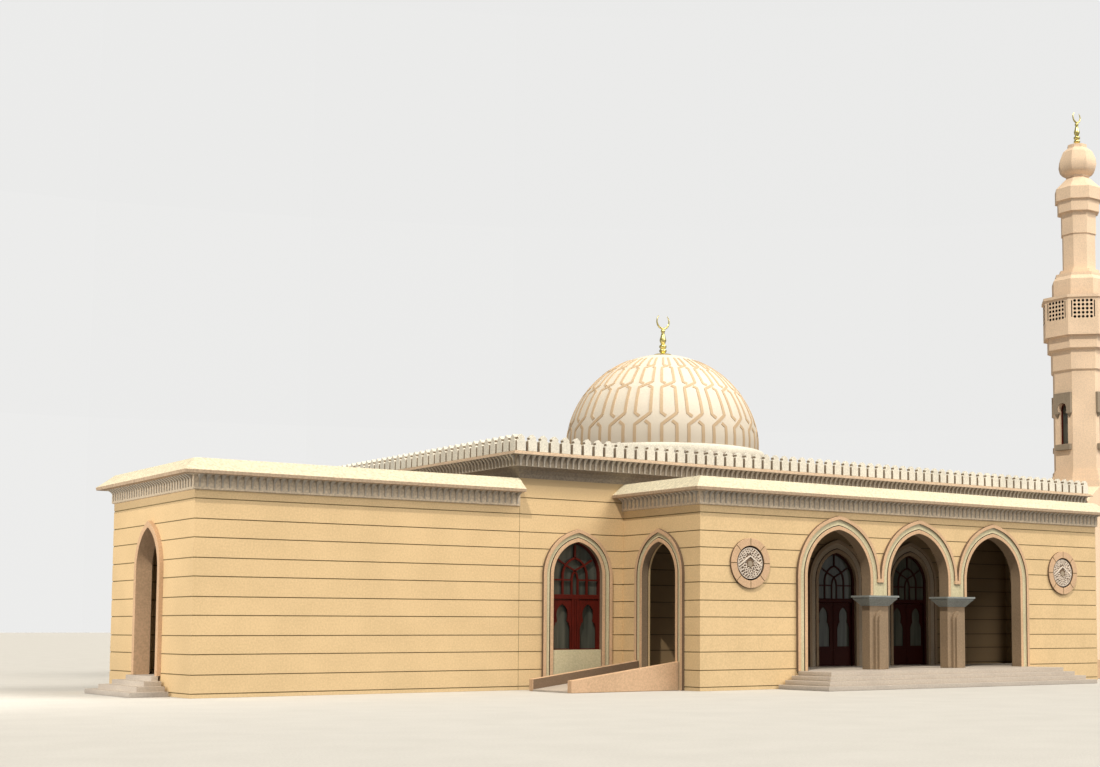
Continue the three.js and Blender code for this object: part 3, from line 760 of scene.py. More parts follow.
def varnished_wood(name, colour):
    """Hardwood with red-brown varnish: long vertical grain under a satin coat."""
    material, tree, shader, place = new_material(name)
    grain = drawn_out_noise(tree, place, (120.0, 120.0, 7.0), 4.0)
    tone = two_tones(tree, grain, darker(colour, 0.85), darker(colour, 1.15))
    tree.links.new(tone, shader.inputs["Base Color"])
    add_relief(tree, shader, grain, 0.15, 0.001)
    shader.inputs["Roughness"].default_value = 0.45
    shader.inputs["Specular IOR Level"].default_value = 0.12
    return material


def window_wood(colours):
    """Varnished wood of the windows, in the wood's own bright red."""
    return varnished_wood("red_varnished_hardwood", colours.wood)


def door_wood(colours):
    """Varnished wood of the doors, made darker as painted shade under the porch roof."""
    return varnished_wood("shaded_varnished_hardwood", darker(colours.wood, 0.6))


def tinted_glass(colours):
    """Dark tinted float glass before pale curtains: glossy, with faint upright folds behind."""
    material, tree, shader, place = new_material("tinted_float_glass")
    folds = drawn_out_noise(tree, place, (9.0, 9.0, 0.5), 1.0)
    tone = two_tones(tree, folds, darker(colours.glass, 0.9), darker(colours.glass, 1.25))
    tree.links.new(tone, shader.inputs["Base Color"])
    shader.inputs["Roughness"].default_value = 0.08
    shader.inputs["IOR"].default_value = 1.52
    return material


def gilt_brass(colours):
    """Gold leaf on spun brass: bright, with slightly duller patches."""
    material, tree, shader, place = new_material("gilt_spun_brass")
    patches = add_node(tree, "ShaderNodeTexNoise", {"Vector": place}, Scale=14.0, Detail=3.0)
    tone = two_tones(tree, patches.outputs["Fac"], darker(colours.gilt, 0.82), colours.gilt)
    tree.links.new(tone, shader.inputs["Base Color"])
    dull = add_node(tree, "ShaderNodeMapRange", {"Value": patches.outputs["Fac"]}, To_Min=0.22, To_Max=0.4)
    tree.links.new(dull.outputs["Result"], shader.inputs["Roughness"])
    shader.inputs["Metallic"].default_value = 1.0
    return material


FINISHES = {
    "wall": sand_render,
    "porch_shade": porch_shade_render,
    "joint": shadow_joint,
    "trim": pink_cast_stone,
    "edge": shaded_edge_stone,
    "pier": brown_cast_stone_and_shade,
    "hollow": grey_cream_stone,
    "merlon": pale_cast_stone,
    "bracket": bracket_stone,
    "hood": hood_stone_and_shade,
    "grey": honed_grey_stone,
    "pale": pale_render,
    "dome": dome_render,
    "rib": rib_render,
    "lattice": carved_stone,
    "step": honed_limestone,
    "roof": roof_screed,
    "wood": window_wood,
    "door_wood": door_wood,
    "glass": tinted_glass,
    "gilt": gilt_brass,
    "deep_shade": deep_shade_render,
}


# Arches of the building, each with the sizes of its opening

def window_arch(side):
    return Arch(axis=side * 12.99, half=1.09, apex=5.48, band=0.435, left_foot=0.0, right_foot=0.0)


def door_arch(axis):
    return Arch(axis, half=1.075, apex=5.45, band=0.505, left_foot=FLOOR + 0.001, right_foot=FLOOR + 0.001)


def side_arch():
    return Arch(axis=-2.45, half=1.075, apex=5.456, band=0.44, left_foot=0.0, right_foot=0.0)


def wing_arch():
    return Arch(axis=4.05, half=1.09, apex=5.67, band=0.2, left_foot=FLOOR + 0.001,
                right_foot=FLOOR + 0.001)


def arcade_arch(place, left_foot, right_foot):
    return Arch(PLACES[place], half=1.626, apex=6.03, band=0.484, left_foot=left_foot, right_foot=right_foot)


def groove_heights(top):
    """Heights of the grooves up to the top of a wall."""
    sizes = bpy.context.scene.mosque_walls
    heights = []
    for k in range(12):
        height = sizes.first_groove + sizes.course_pair * (k // 2) + sizes.low_course * (k % 2)
        if height < top:
            heights.append(height)
    return heights


def groove_tool(bounds, top, inside=False):
    """Thin frames that cut the grooves round a rectangle of walls, from outside or from inside."""
    sizes = bpy.context.scene.mosque_walls
    depth, half = sizes.groove_depth, sizes.groove_height / 2
    near, far = (-0.05, depth) if inside else (-depth, 0.05)
    frames = []
    for height in groove_heights(top):
        low, high = height - half, height + half
        profile = [(near, low), (far, low), (far, high), (near, high)]
        frames.append(ring_moulding(bounds, profile))
    # The grooves' faces take the joint finish, painted shade inside them.
    return coated(join(frames), "joint")


def keep_clear(tool, arch, wall):
    """Stops the grooves under an arch's outer strip."""
    outline = arch_path(arch._replace(left_foot=-1.0, right_foot=-1.0), arch.band - 0.03)
    cut(tool, plate(outline, wall, -0.3, 0.3))


def plain_band_tool(wall, start, end):
    """A slab before a wall that takes off its plain arch bands, whose place the mouldings take."""
    return coated(block(wall, (start - 0.1, end + 0.1), (0.001, 0.3), (-0.1, 7.7)), "wall")


def window_way_tool(side):
    """Opens the wall round a window out to the back of its stone strip."""
    opening = window_arch(side)._replace(left_foot=SILL, right_foot=SILL)
    return coated(plate(arch_path(opening), facing_front(0), -0.3, 0.3), "wall")


def banded_wall(node, tools, coat="wall", inwards=None):
    """A rendered wall with its grooves cut, and painted shade on the side that looks inwards."""
    wall = coated(copy_of(node), coat)
    if inwards is not None:
        # Painted shade on the faces that look into the porch.
        mark_faces(wall, lambda normal: normal.dot(inwards) > 0.5, "porch_shade")
    for tool in tools:
        cut(wall, tool, keep_tool=True)
    settle(wall, "banded_" + node, None, replaces=[node])


class MOSQUE_OT_walls(bpy.types.Operator):
    """Cut the shadow grooves of the courses into all rendered walls"""

    bl_idname = "mosque.walls"
    bl_label = "Banded walls"
    bl_options = {"REGISTER", "UNDO"}

    def execute(self, context):
        self.hall_walls()
        self.wing_walls()
        self.porch_walls()
        return {"FINISHED"}

    def hall_walls(self):
        """The hall's walls, with grooves that stop at its arches and painted shade behind the porch."""
        front = facing_front(HALL[2])
        grooves = groove_tool(HALL, HALL_BANDS_TOP)
        for axis in PLACES.values():
            keep_clear(grooves, door_arch(axis), front)
        for side in SIDES.values():
            keep_clear(grooves, window_arch(side), front)
        face = plain_band_tool(front, HALL[0], HALL[1])
        window_ways = {place: window_way_tool(side) for place, side in SIDES.items()}
        joint = self.joint_with_wing(front)
        front_walls = {
            "hall_front_wall_left": [face, window_ways["left"], joint, grooves],
            "hall_front_wall_right": [face, window_ways["right"], grooves],
            "hall_door_pier_left": [face, grooves],
            "hall_door_pier_right": [face, grooves],
            "hall_wall_over_doors": [face, grooves],
        }
        for node, tools in front_walls.items():
            # The hall's front walls get painted shade where the porch roof covers them.
            banded_wall(node, tools, coat="porch_shade")
        for node in ("hall_left_wall", "hall_right_wall", "hall_back_wall"):
            banded_wall(node, [grooves])
        discard(grooves, face, joint, *window_ways.values())

    def joint_with_wing(self, front):
        """The fine upright joint where the hall's front meets the wing's."""
        return coated(block(front, (WING[1] + 0.01, WING[1] + 0.024), (-0.014, 0.05), (-0.1, 7.55)), "joint")

    def wing_walls(self):
        """The wing's walls, grooved outside and inside, with one arch in the end."""
        x0, x1, y0, y1 = WING
        end = facing_left(x0)
        grooves = groove_tool((x0, x1 + 2, y0, y1), LOW_BANDS_TOP)
        keep_clear(grooves, wing_arch(), end)
        inside = groove_tool((x0 + WALL, x1 + 2, y0 + WALL, y1 - WALL), LOW_BANDS_TOP, inside=True)
        face = plain_band_tool(end, y0, y1)
        for node in ("wing_front_wall", "wing_end_wall", "wing_back_wall"):
            banded_wall(node, [face, grooves, inside])
        discard(grooves, inside, face)

    def porch_walls(self):
        """The porch's walls, grooved outside and inside, with painted shade inside, thinner round the side
        arches.
        """
        x0, x1, y0, y1 = PORCH
        front = facing_front(y0)
        ends = {"left": facing_left(x0), "right": facing_right(x1)}
        grooves = groove_tool((x0, x1, y0, y1 + 2), LOW_BANDS_TOP)
        for place in PLACES:
            keep_clear(grooves, arcade_arch(place, 0, 0), front)
        for wall in ends.values():
            keep_clear(grooves, side_arch(), wall)
        inside = groove_tool((x0 + WALL, x1 - WALL, y0 + WALL, y1 + 2), LOW_BANDS_TOP, inside=True)
        face = plain_band_tool(front, x0, x1)
        for node in ("porch_front_wall_left", "porch_front_wall_right", "porch_arcade"):
            banded_wall(node, [face, grooves, inside], inwards=Vector((0, 1, 0)))
        axis = side_arch().axis
        for place, wall in ends.items():
            end_face = plain_band_tool(wall, y0, y1)
            rebate = block(wall, (axis - 1.4, axis + 1.4), (-0.5, -0.3), (FLOOR + 0.001, 6.0))
            # The rebate round the side arch also takes the porch's painted shade.
            coated(rebate, "porch_shade")
            banded_wall(f"porch_side_wall_{place}", [end_face, grooves, inside, rebate],
                        inwards=Vector((-SIDES[place], 0, 0)))
            discard(end_face, rebate)
        discard(grooves, inside, face)


def lined_strip_profile(width, out, depth):
    """A raised strip that turns the corner of the opening and lines the reveal to a depth."""
    return [(-0.012, -depth), (-0.012, out - 0.008), (-0.004, out), (width - 0.008, out),
            (width, out - 0.008), (width, -0.01), (0.004, -0.01), (0.004, -depth)]


def hollow_profile(start, end):
    """A shallow trough between the two strips."""
    points = [(start, -0.01)]
    for i in range(7):
        share = i / 6
        points.append((start + (end - start) * share, 0.07 - 0.012 * math.sin(math.pi * share)))
    return [*points, (end, -0.01)]


def outer_strip_profile(start, end):
    """The raised strip at the outer edge, with eased arrises."""
    out = 0.13
    return [(start, -0.01), (start, out - 0.008), (start + 0.008, out), (end - 0.008, out),
            (end, out - 0.008), (end, -0.01)]


def dark_line(name, arch, wall, depth):
    """A dark strip of painted shade where a stone lining ends inside an opening."""
    gap = [(-0.01, -depth), (-0.01, -depth - 0.02), (0.004, -depth - 0.02), (0.004, -depth)]
    settle(moulding(arch, gap, wall), name + "_shadow_gap", finish("deep_shade"), smooth=12)


def dressed_arch(name, arch, wall, depth, outer_feet=None, stones=("trim", "hollow")):
    """Two raised strips with a hollow between them, in two stones, round one opening.

    The sides of the strips are browner as painted shade, and a thin dark strip of painted shade runs along
    the inner one.
    """
    strips, between = stones
    inner_width, inner_out = 0.125, 0.1
    shade_line_start, shade_line_end, shade_line_out = 0.12, 0.162, 0.064
    hollow_start = 0.158
    outer_start = arch.band - bpy.context.scene.mosque_trim.strip_width
    outer = arch if outer_feet is None else arch._replace(left_foot=outer_feet[0], right_foot=outer_feet[1])
    inner = coated(moulding(arch, lined_strip_profile(inner_width, inner_out, depth), wall), strips)
    raised = coated(moulding(outer, outer_strip_profile(outer_start, arch.band), wall), strips)
    outward = Vector(wall(0, 1, 0)) - Vector(wall(0, 0, 0))
    # Painted shade: the strips' side faces, and the inner strip's lining of the reveal, take darker finishes.
    mark_faces(inner, lambda normal: abs(normal.dot(outward)) < 0.3, "pier")
    mark_faces(raised, lambda normal: abs(normal.dot(outward)) < 0.3, "edge")
    settle(join([inner, raised]), name + "_strips", None, smooth=12)
    hollow = moulding(arch, hollow_profile(hollow_start, outer_start + 0.004), wall)
    settle(hollow, name + "_hollow", finish(between), smooth=12)
    # Painted shade: a thin dark strip where the hollow meets the inner strip.
    shade_line = [(shade_line_start, -0.01), (shade_line_start, shade_line_out), (shade_line_end, shade_line_out),
              (shade_line_end, -0.01)]
    settle(moulding(arch, shade_line, wall), name + "_shade_line", finish("deep_shade"), smooth=12)


class MOSQUE_OT_arches(bpy.types.Operator):
    """Carry stone mouldings round every arch and set panels under the windows"""

    bl_idname = "mosque.arches"
    bl_label = "Arch mouldings"
    bl_options = {"REGISTER", "UNDO"}

    def execute(self, context):
        for place, axis in PLACES.items():
            # The doorways' strips and hollows take darker stones as painted shade under the porch roof.
            dressed_arch(f"door_{place}_arch", door_arch(axis), facing_front(0), depth=0.048,
                         stones=("pier", "hood"))
        for place, side in SIDES.items():
            dressed_arch(f"window_{place}_arch", window_arch(side), facing_front(0), depth=0.083)
        for place, wall in (("left", facing_left(PORCH[0])), ("right", facing_right(PORCH[1]))):
            dressed_arch(f"side_{place}_arch", side_arch(), wall, depth=0.185)
            dark_line(f"side_{place}_arch", side_arch(), wall, depth=0.185)
        self.wing_arch_strip()
        self.arcade()
        self.window_aprons()
        return {"FINISHED"}

    def wing_arch_strip(self):
        """The single strip round the arch in the wing's end, which also lines its reveal."""
        arch, wall, depth = wing_arch(), facing_left(WING[0]), 0.42
        strip_with_lining = moulding(arch, lined_strip_profile(arch.band, 0.14, depth), wall)
        settle(strip_with_lining, "wing_arch_strip", finish("trim"), smooth=12)
        dark_line("wing_arch", arch, wall, depth)

    def arcade(self):
        """Three arches that join above the capitals, where the outer strips meet in a short bar."""
        capital_top, bar_low, bar_high = 3.521, 4.03, 4.17
        depth = 0.42
        floor = FLOOR + 0.001
        front = facing_front(PORCH[2])
        feet = {
            "left": ((floor, capital_top), (floor, bar_low)),
            "middle": ((capital_top, capital_top), (bar_low, bar_low)),
            "right": ((capital_top, floor), (bar_low, floor)),
        }
        for place, (inner_feet, outer_feet) in feet.items():
            arch = arcade_arch(place, *inner_feet)
            dressed_arch(f"arcade_{place}_arch", arch, front, depth, outer_feet)
            dark_line(f"arcade_{place}_arch", arch, front, depth)
        bars, panels = [], []
        for middle in (-ARCH_SPACING / 2, ARCH_SPACING / 2):
            bar = (middle - 0.17, middle + 0.17)
            panel = (middle - 0.41, middle + 0.41)
            bars.append(block(front, bar, (-0.01, 0.128), (bar_low, bar_high)))
            panels.append(block(front, panel, (-0.01, 0.058), (capital_top, bar_low)))
        settle(soften(join(bars), 0.008), "arcade_short_bars", finish("trim"))
        settle(join(panels), "arcade_spandrel_panels", finish("hollow"))

    def window_aprons(self):
        """The plain grey-cream panel under each window, down to the ground."""
        for place, side in SIDES.items():
            arch = window_arch(side)
            along = (arch.axis - arch.half, arch.axis + arch.half)
            apron = soften(block(facing_front(0), along, (-0.02, 0.012), (0.0, SILL)), 0.004)
            settle(apron, f"window_{place}_apron", finish("hollow"))


def bracket(wall, along, rings):
    """A small bracket on a stem. Each ring is (up, half width, nearest out, furthest out)."""

    def place(row, column):
        up, half, near, far = rings[row]
        side, out = [(-1, near), (-1, far), (1, far), (1, near)][column % 4]
        return wall(along + side * half, out, up)

    return shaped_grid(len(rings), 5, place)


def bracket_row(wall, start, end, rings):
    """Brackets at an even pitch between two values along a wall."""
    pitch = bpy.context.scene.mosque_trim.bracket_pitch
    count = max(1, round((end - start) / pitch))
    step = (end - start) / count
    move = Vector(wall(step, 0, 0)) - Vector(wall(0, 0, 0))
    return repeat(bracket(wall, start + step / 2, rings), count, move)


# Brackets from stem to head, as rings of (up, half width, nearest out, furthest out)
LOW_BRACKET = [(6.79, 0.026, 0.06, 0.095), (7.0, 0.026, 0.06, 0.105), (7.06, 0.038, 0.06, 0.13),
               (7.12, 0.056, 0.06, 0.19), (7.165, 0.068, 0.06, 0.27), (7.196, 0.07, 0.06, 0.31)]
HALL_BRACKET = [(8.17, 0.03, 0.33, 0.372), (8.33, 0.032, 0.33, 0.38), (8.4, 0.042, 0.33, 0.4),
                (8.48, 0.058, 0.33, 0.45), (8.535, 0.066, 0.33, 0.51), (8.565, 0.068, 0.33, 0.535)]


class MOSQUE_OT_cornices(bpy.types.Operator):
    """Add the small brackets under the roof edges and colour the cornices in bands"""

    bl_idname = "mosque.cornices"
    bl_label = "Cornices"
    bl_options = {"REGISTER", "UNDO"}

    def execute(self, context):
        self.brackets("wing", WING, ("front", "back", "left"), LOW_BRACKET)
        self.brackets("porch", PORCH, ("front", "left", "right"), LOW_BRACKET)
        self.brackets("hall", HALL, ("front", "back", "left", "right"), HALL_BRACKET, out=0.3)
        # Painted light: the low frieze is lightened to make up for the shade under the cap.
        low = banded_cornice_finish("cast_low_cornice_stone", "frieze", [(7.19, "lip"), (7.31, "cap")])
        # Painted shade: the hall's cove and frieze bands are darker, for the shadow under its lip.
        high = banded_cornice_finish("cast_hall_cornice_stone", "cove", [(8.16, "hood"), (8.585, "lip")])
        paint(["wing_cornice", "porch_cornice"], low)
        paint(["hall_cornice"], high)
        return {"FINISHED"}

    def brackets(self, name, bounds, sides, rings, out=0.0):
        """A row of small brackets along each of the named sides."""
        faces = faces_of(bounds, out)
        rows = [bracket_row(*faces[side], rings) for side in sides]
        settle(join(rows), name + "_brackets", finish("bracket"))


def banded_cornice_finish(name, lowest, bands):
    """Cast stone of different sands in courses by height; some courses hold painted light and shade."""
    colours = bpy.context.scene.mosque_colours
    material, tree, shader, place = new_material(name)
    parts = add_node(tree, "ShaderNodeSeparateXYZ", {0: place})
    grain = add_node(tree, "ShaderNodeTexNoise", {"Vector": place}, Scale=24.0, Detail=3.0)

    def speckled(colour):
        return two_tones(tree, grain.outputs["Fac"], darker(colour, 0.92), darker(colour, 1.06))

    tone = speckled(getattr(colours, lowest))
    for height, colour in bands:
        above = add_node(tree, "ShaderNodeMath", {0: parts.outputs["Z"]}, operation="GREATER_THAN")
        above.inputs[1].default_value = height * METRE
        upper = speckled(getattr(colours, colour))
        mixed = add_node(tree, "ShaderNodeMix", {0: above.outputs[0], 6: tone, 7: upper}, data_type="RGBA")
        tone = mixed.outputs[2]
    tree.links.new(tone, shader.inputs["Base Color"])
    add_relief(tree, shader, grain.outputs["Fac"], 0.2, 0.004)
    shader.inputs["Roughness"].default_value = 0.85
    shader.inputs["Specular IOR Level"].default_value = 0.2
    return material


class MOSQUE_OT_merlons(bpy.types.Operator):
    """Stand the shouldered merlons round the hall roof"""

    bl_idname = "mosque.merlons"
    bl_label = "Merlons"
    bl_options = {"REGISTER", "UNDO"}

    # Inner and outer faces of the merlons, out of the hall's walls, and how many stand on each side
    near, far = 0.23, 0.433
    counts = {"front": 66, "back": 66, "left": 54, "right": 54}

    def merlon_row(self, wall, start, end, count):
        """Merlons with shoulders and a pointed top, at an even pitch."""
        half = bpy.context.scene.mosque_trim.merlon_half
        neck = half - 0.055
        right = [(half, 8.702), (half, 9.09), (neck, 9.12), (neck, 9.15), (half - 0.037, 9.205)]
        outline = [*right, (0.0, 9.333), *[(-x, z) for x, z in reversed(right)]]
        pitch = (end - start) / count
        axis = start + pitch / 2
        merlon = soften(plate([(axis + x, z) for x, z in outline], wall, self.near, self.far), 0.012)
        coated(merlon, "merlon")
        move = Vector(wall(pitch, 0, 0)) - Vector(wall(0, 0, 0))
        # Painted shade on the merlons' sides, which face along the row.
        mark_faces(merlon, lambda normal: abs(normal.dot(move.normalized())) > 0.95, "hood")
        return repeat(merlon, count, move)

    def execute(self, context):
        faces = faces_of(HALL, self.far)
        rows = [self.merlon_row(*faces[side], count) for side, count in self.counts.items()]
        settle(join(rows), "hall_merlons", None, replaces=["hall_crenellation"])
        return {"FINISHED"}


def dome_radius(height, inwards=0.0):
    """Radius of the dome's outside at a height, less the thickness."""
    sizes = bpy.context.scene.mosque_dome
    rise = sizes.crown - inwards - sizes.spring
    share = min(max((height - sizes.spring) / rise, 0.0), 1.0)
    return (sizes.radius - inwards) * math.sqrt(max(1 - share ** sizes.fullness, 0.0))


class MOSQUE_OT_dome(bpy.types.Operator):
    """Make the smooth dome shell, its crossing ribs and the roll at its foot"""

    bl_idname = "mosque.dome"
    bl_label = "Dome"
    bl_options = {"REGISTER", "UNDO"}

    # Foot of the shell and ribs, then where each crossing of a rib pair starts and ends, then the ribs' top
    foot = 10.751
    crossings = ((11.6, 12.15), (13.41, 13.7), (14.48, 14.64))
    rib_top = 15.12
    # Half the angle between the ribs of a pair, in degrees, below, between and above the crossings
    spreads = (4.35, 4.6, 4.6, 3.3)
    # Direction of the first pair in degrees, and how far into a crossing the lower rib shows
    first_axis = -121.9
    gap = 0.3

    def shell_line(self, inwards, steps=40):
        """Points (radius, up) from the foot to the crown, closer together near the crown."""
        sizes = bpy.context.scene.mosque_dome
        crown = sizes.crown - inwards
        line = [(sizes.radius - inwards - 0.01, self.foot)]
        for i in range(steps + 1):
            height = sizes.spring + (crown - sizes.spring) * math.sin(math.pi / 2 * i / steps)
            line.append((dome_radius(height, inwards), height))
        return line

    def rib(self, points):
        """A flat raised band through (degrees from the pair's axis, height) points on the dome."""
        sizes = bpy.context.scene.mosque_dome
        line = []
        for (a0, z0), (a1, z1) in zip(points, points[1:]):
            steps = max(2, round(abs(z1 - z0) / 0.12))
            line += [(a0 + (a1 - a0) * i / steps, z0 + (z1 - z0) * i / steps) for i in range(steps)]
        line.append(points[-1])

        def on_dome(angle, height, lift):
            radius = dome_radius(height) if height > sizes.spring else sizes.radius - 0.005
            turn = math.radians(self.first_axis + angle)
            flat = Vector((math.cos(turn), math.sin(turn), 0.0))
            normal = (flat + Vector((0, 0, max(height - sizes.spring, 0) / 4.5))).normalized()
            return Vector((*DOME_AXIS, height)) + flat * radius + normal * lift

        spots = [on_dome(angle, height, 0) for angle, height in line]
        section = [(-1.0, -0.03), (-0.85, 0.028), (0.85, 0.028), (1.0, -0.03)]

        def place(row, column):
            angle, height = line[row]
            ahead = spots[min(row + 1, len(spots) - 1)] - spots[max(row - 1, 0)]
            normal = (on_dome(angle, height, 1) - spots[row]).normalized()
            across = normal.cross(ahead).normalized()
            side, lift = section[column % 4]
            radius = dome_radius(height) if height > sizes.spring else sizes.radius
            half = sizes.rib_width / 2 * (0.35 + 0.65 * radius / sizes.radius)
            return spots[row] + across * half * side + normal * lift

        return shaped_grid(len(line), 5, place)

    def rib_pair(self):
        """Two strands that cross three times; the one that rises to the right passes over."""
        heights = [self.foot, *[z for pair in self.crossings for z in pair], self.rib_top]
        ribs = []
        for k, spread in enumerate(self.spreads):
            low, high = heights[2 * k], heights[2 * k + 1]
            left, right = [(-spread, low)], [(spread, low)]
            if k:
                before, start = self.spreads[k - 1], heights[2 * k - 1]
                left.insert(0, (-spread + (spread + before) * self.gap, low - (low - start) * self.gap))
            left.append((-spread, high))
            right.append((spread, high))
            if k < len(self.spreads) - 1:
                after, end = self.spreads[k + 1], heights[2 * k + 2]
                left.append((after, end))
                right.append((spread - (spread + after) * self.gap, high + (end - high) * self.gap))
            ribs += [self.rib(left), self.rib(right)]
        return join(ribs)

    def execute(self, context):
        thickness = 0.25
        outside, inside = self.shell_line(0.0), self.shell_line(thickness)
        shell = turned([*outside, *reversed(inside), outside[0]], DOME_AXIS, steps=128)
        settle(shell, "dome_shell", finish("dome"), replaces=["dome"], smooth=40)
        ribs = repeat_round(self.rib_pair(), context.scene.mosque_dome.rib_pairs, DOME_AXIS)
        settle(tidy_mesh(ribs), "dome_ribs", finish("rib"), smooth=50)
        self.foot_roll()
        return {"FINISHED"}

    def foot_roll(self):
        """The round moulding between the drum and the dome."""
        inner, low, high = 4.7, 10.2, 10.745
        middle, height, wide, tall = 4.86, 10.5, 0.11, 0.23
        profile = [(inner, low)]
        for i in range(13):
            angle = math.pi * (i / 12 - 0.5)
            profile.append((middle + wide * math.cos(angle), height + tall * math.sin(angle)))
        profile += [(inner, high), (inner, low)]
        roll = turned(profile, DOME_AXIS, steps=128)
        settle(roll, "dome_foot_roll", finish("merlon"), smooth=40)


def finial(centre, foot, scale, name, node, with_disc, crescent_radius):
    """A gilt stem of beads and a vase, with a crescent whose tips point up.

    The stem's outline and the crescent's radius are for a scale of 1.
    """
    x, y = centre
    disc = [(0.44, 0.01), (0.45, 0.035), (0.4, 0.06), (0.14, 0.1)] if with_disc else []
    outline = [(0.0, 0.0), *disc,
               (0.1, 0.12), (0.13, 0.15), (0.175, 0.19), (0.185, 0.24), (0.175, 0.29), (0.12, 0.335),
               (0.13, 0.365), (0.175, 0.41), (0.185, 0.46), (0.175, 0.505), (0.11, 0.555), (0.09, 0.585),
               (0.13, 0.65), (0.165, 0.74), (0.165, 0.8), (0.135, 0.9), (0.1, 1.03), (0.075, 1.15),
               (0.085, 1.17), (0.11, 1.22), (0.105, 1.27), (0.07, 1.32), (0.04, 1.37), (0.0, 1.38)]
    stem = turned([(r * scale, foot + z * scale) for r, z in outline], (x, y), steps=32)
    radius, reach, bottom = crescent_radius * scale, math.radians(139), foot + 1.36 * scale
    steps = 28

    def place(row, column):
        share = 2 * row / steps - 1
        angle = reach * share
        thick = 0.012 + 0.036 * scale * math.cos(share * math.pi / 2) ** 0.7
        turn = 2 * math.pi * (column % 10) / 10
        line = radius + thick * math.cos(turn)
        up = bottom + radius - line * math.cos(angle)
        return (x + line * math.sin(angle), y + thick * math.sin(turn), up)

    crescent = shaped_grid(steps + 1, 11, place)
    settle(join([stem, crescent]), name, finish("gilt"), replaces=[node], smooth=60)


class MOSQUE_OT_finials(bpy.types.Operator):
    """Turn the gilt finials of the dome and the minaret"""

    bl_idname = "mosque.finials"
    bl_label = "Finials"
    bl_options = {"REGISTER", "UNDO"}

    def execute(self, context):
        finial(DOME_AXIS, 15.531, 0.98, "dome_gilt_finial", "dome_finial", with_disc=True,
               crescent_radius=0.37)
        finial(MINARET, 26.671, 0.885, "minaret_gilt_finial", "minaret_finial", with_disc=False,
               crescent_radius=0.31)
        return {"FINISHED"}


class MOSQUE_OT_piers(bpy.types.Operator):
    """Model the two porch piers with their lancet mouldings and grey capitals"""

    bl_idname = "mosque.piers"
    bl_label = "Porch piers"
    bl_options = {"REGISTER", "UNDO"}

    def execute(self, context):
        for place, side in SIDES.items():
            axis = side * ARCH_SPACING / 2
            bounds = (axis - 0.5, axis + 0.5, PORCH[2], PORCH[2] + WALL)
            self.shaft(place, axis, bounds)
            self.capital(place, bounds)
        return {"FINISHED"}

    def shaft(self, place, axis, bounds):
        """A square shaft with two lancet panels, one raised on the other, on its front and back."""
        x0, x1, y0, y1 = bounds
        parts = [soften(block(facing_back(0), (x0, x1), (y0, y1), (FLOOR + 0.001, 3.14)), 0.012)]
        for wall in (facing_front(y0), facing_back(y1)):
            for half, apex, out in ((0.28, 2.94, 0.1), (0.165, 2.8, 0.185)):
                lancet = Arch(axis, half, apex, 0, FLOOR + 0.001, FLOOR + 0.001)
                parts.append(soften(plate(arch_path(lancet, steps=8, spring=2.6), wall, -0.02, out), 0.01))
        settle(join(parts), f"porch_{place}_pier_shaft", finish("pier"),
               replaces=[f"porch_pier_{place}"])

    def capital(self, place, bounds):
        """A stepped and coved capital carried round the top of the shaft."""
        profile = [(0.0, 3.12), (0.03, 3.125), (0.035, 3.15), (0.06, 3.17), (0.1, 3.22), (0.17, 3.31),
                   (0.235, 3.37), (0.25, 3.39), (0.25, 3.44), (0.3, 3.45), (0.3, 3.518), (-0.1, 3.518),
                   (-0.1, 3.12)]
        x0, x1, y0, y1 = bounds
        core = block(facing_back(0), (x0 + 0.05, x1 - 0.05), (y0 + 0.05, y1 - 0.05), (3.13, 3.515))
        capital = join([ring_moulding(bounds, profile), core])
        settle(capital, f"porch_{place}_capital", finish("grey"))


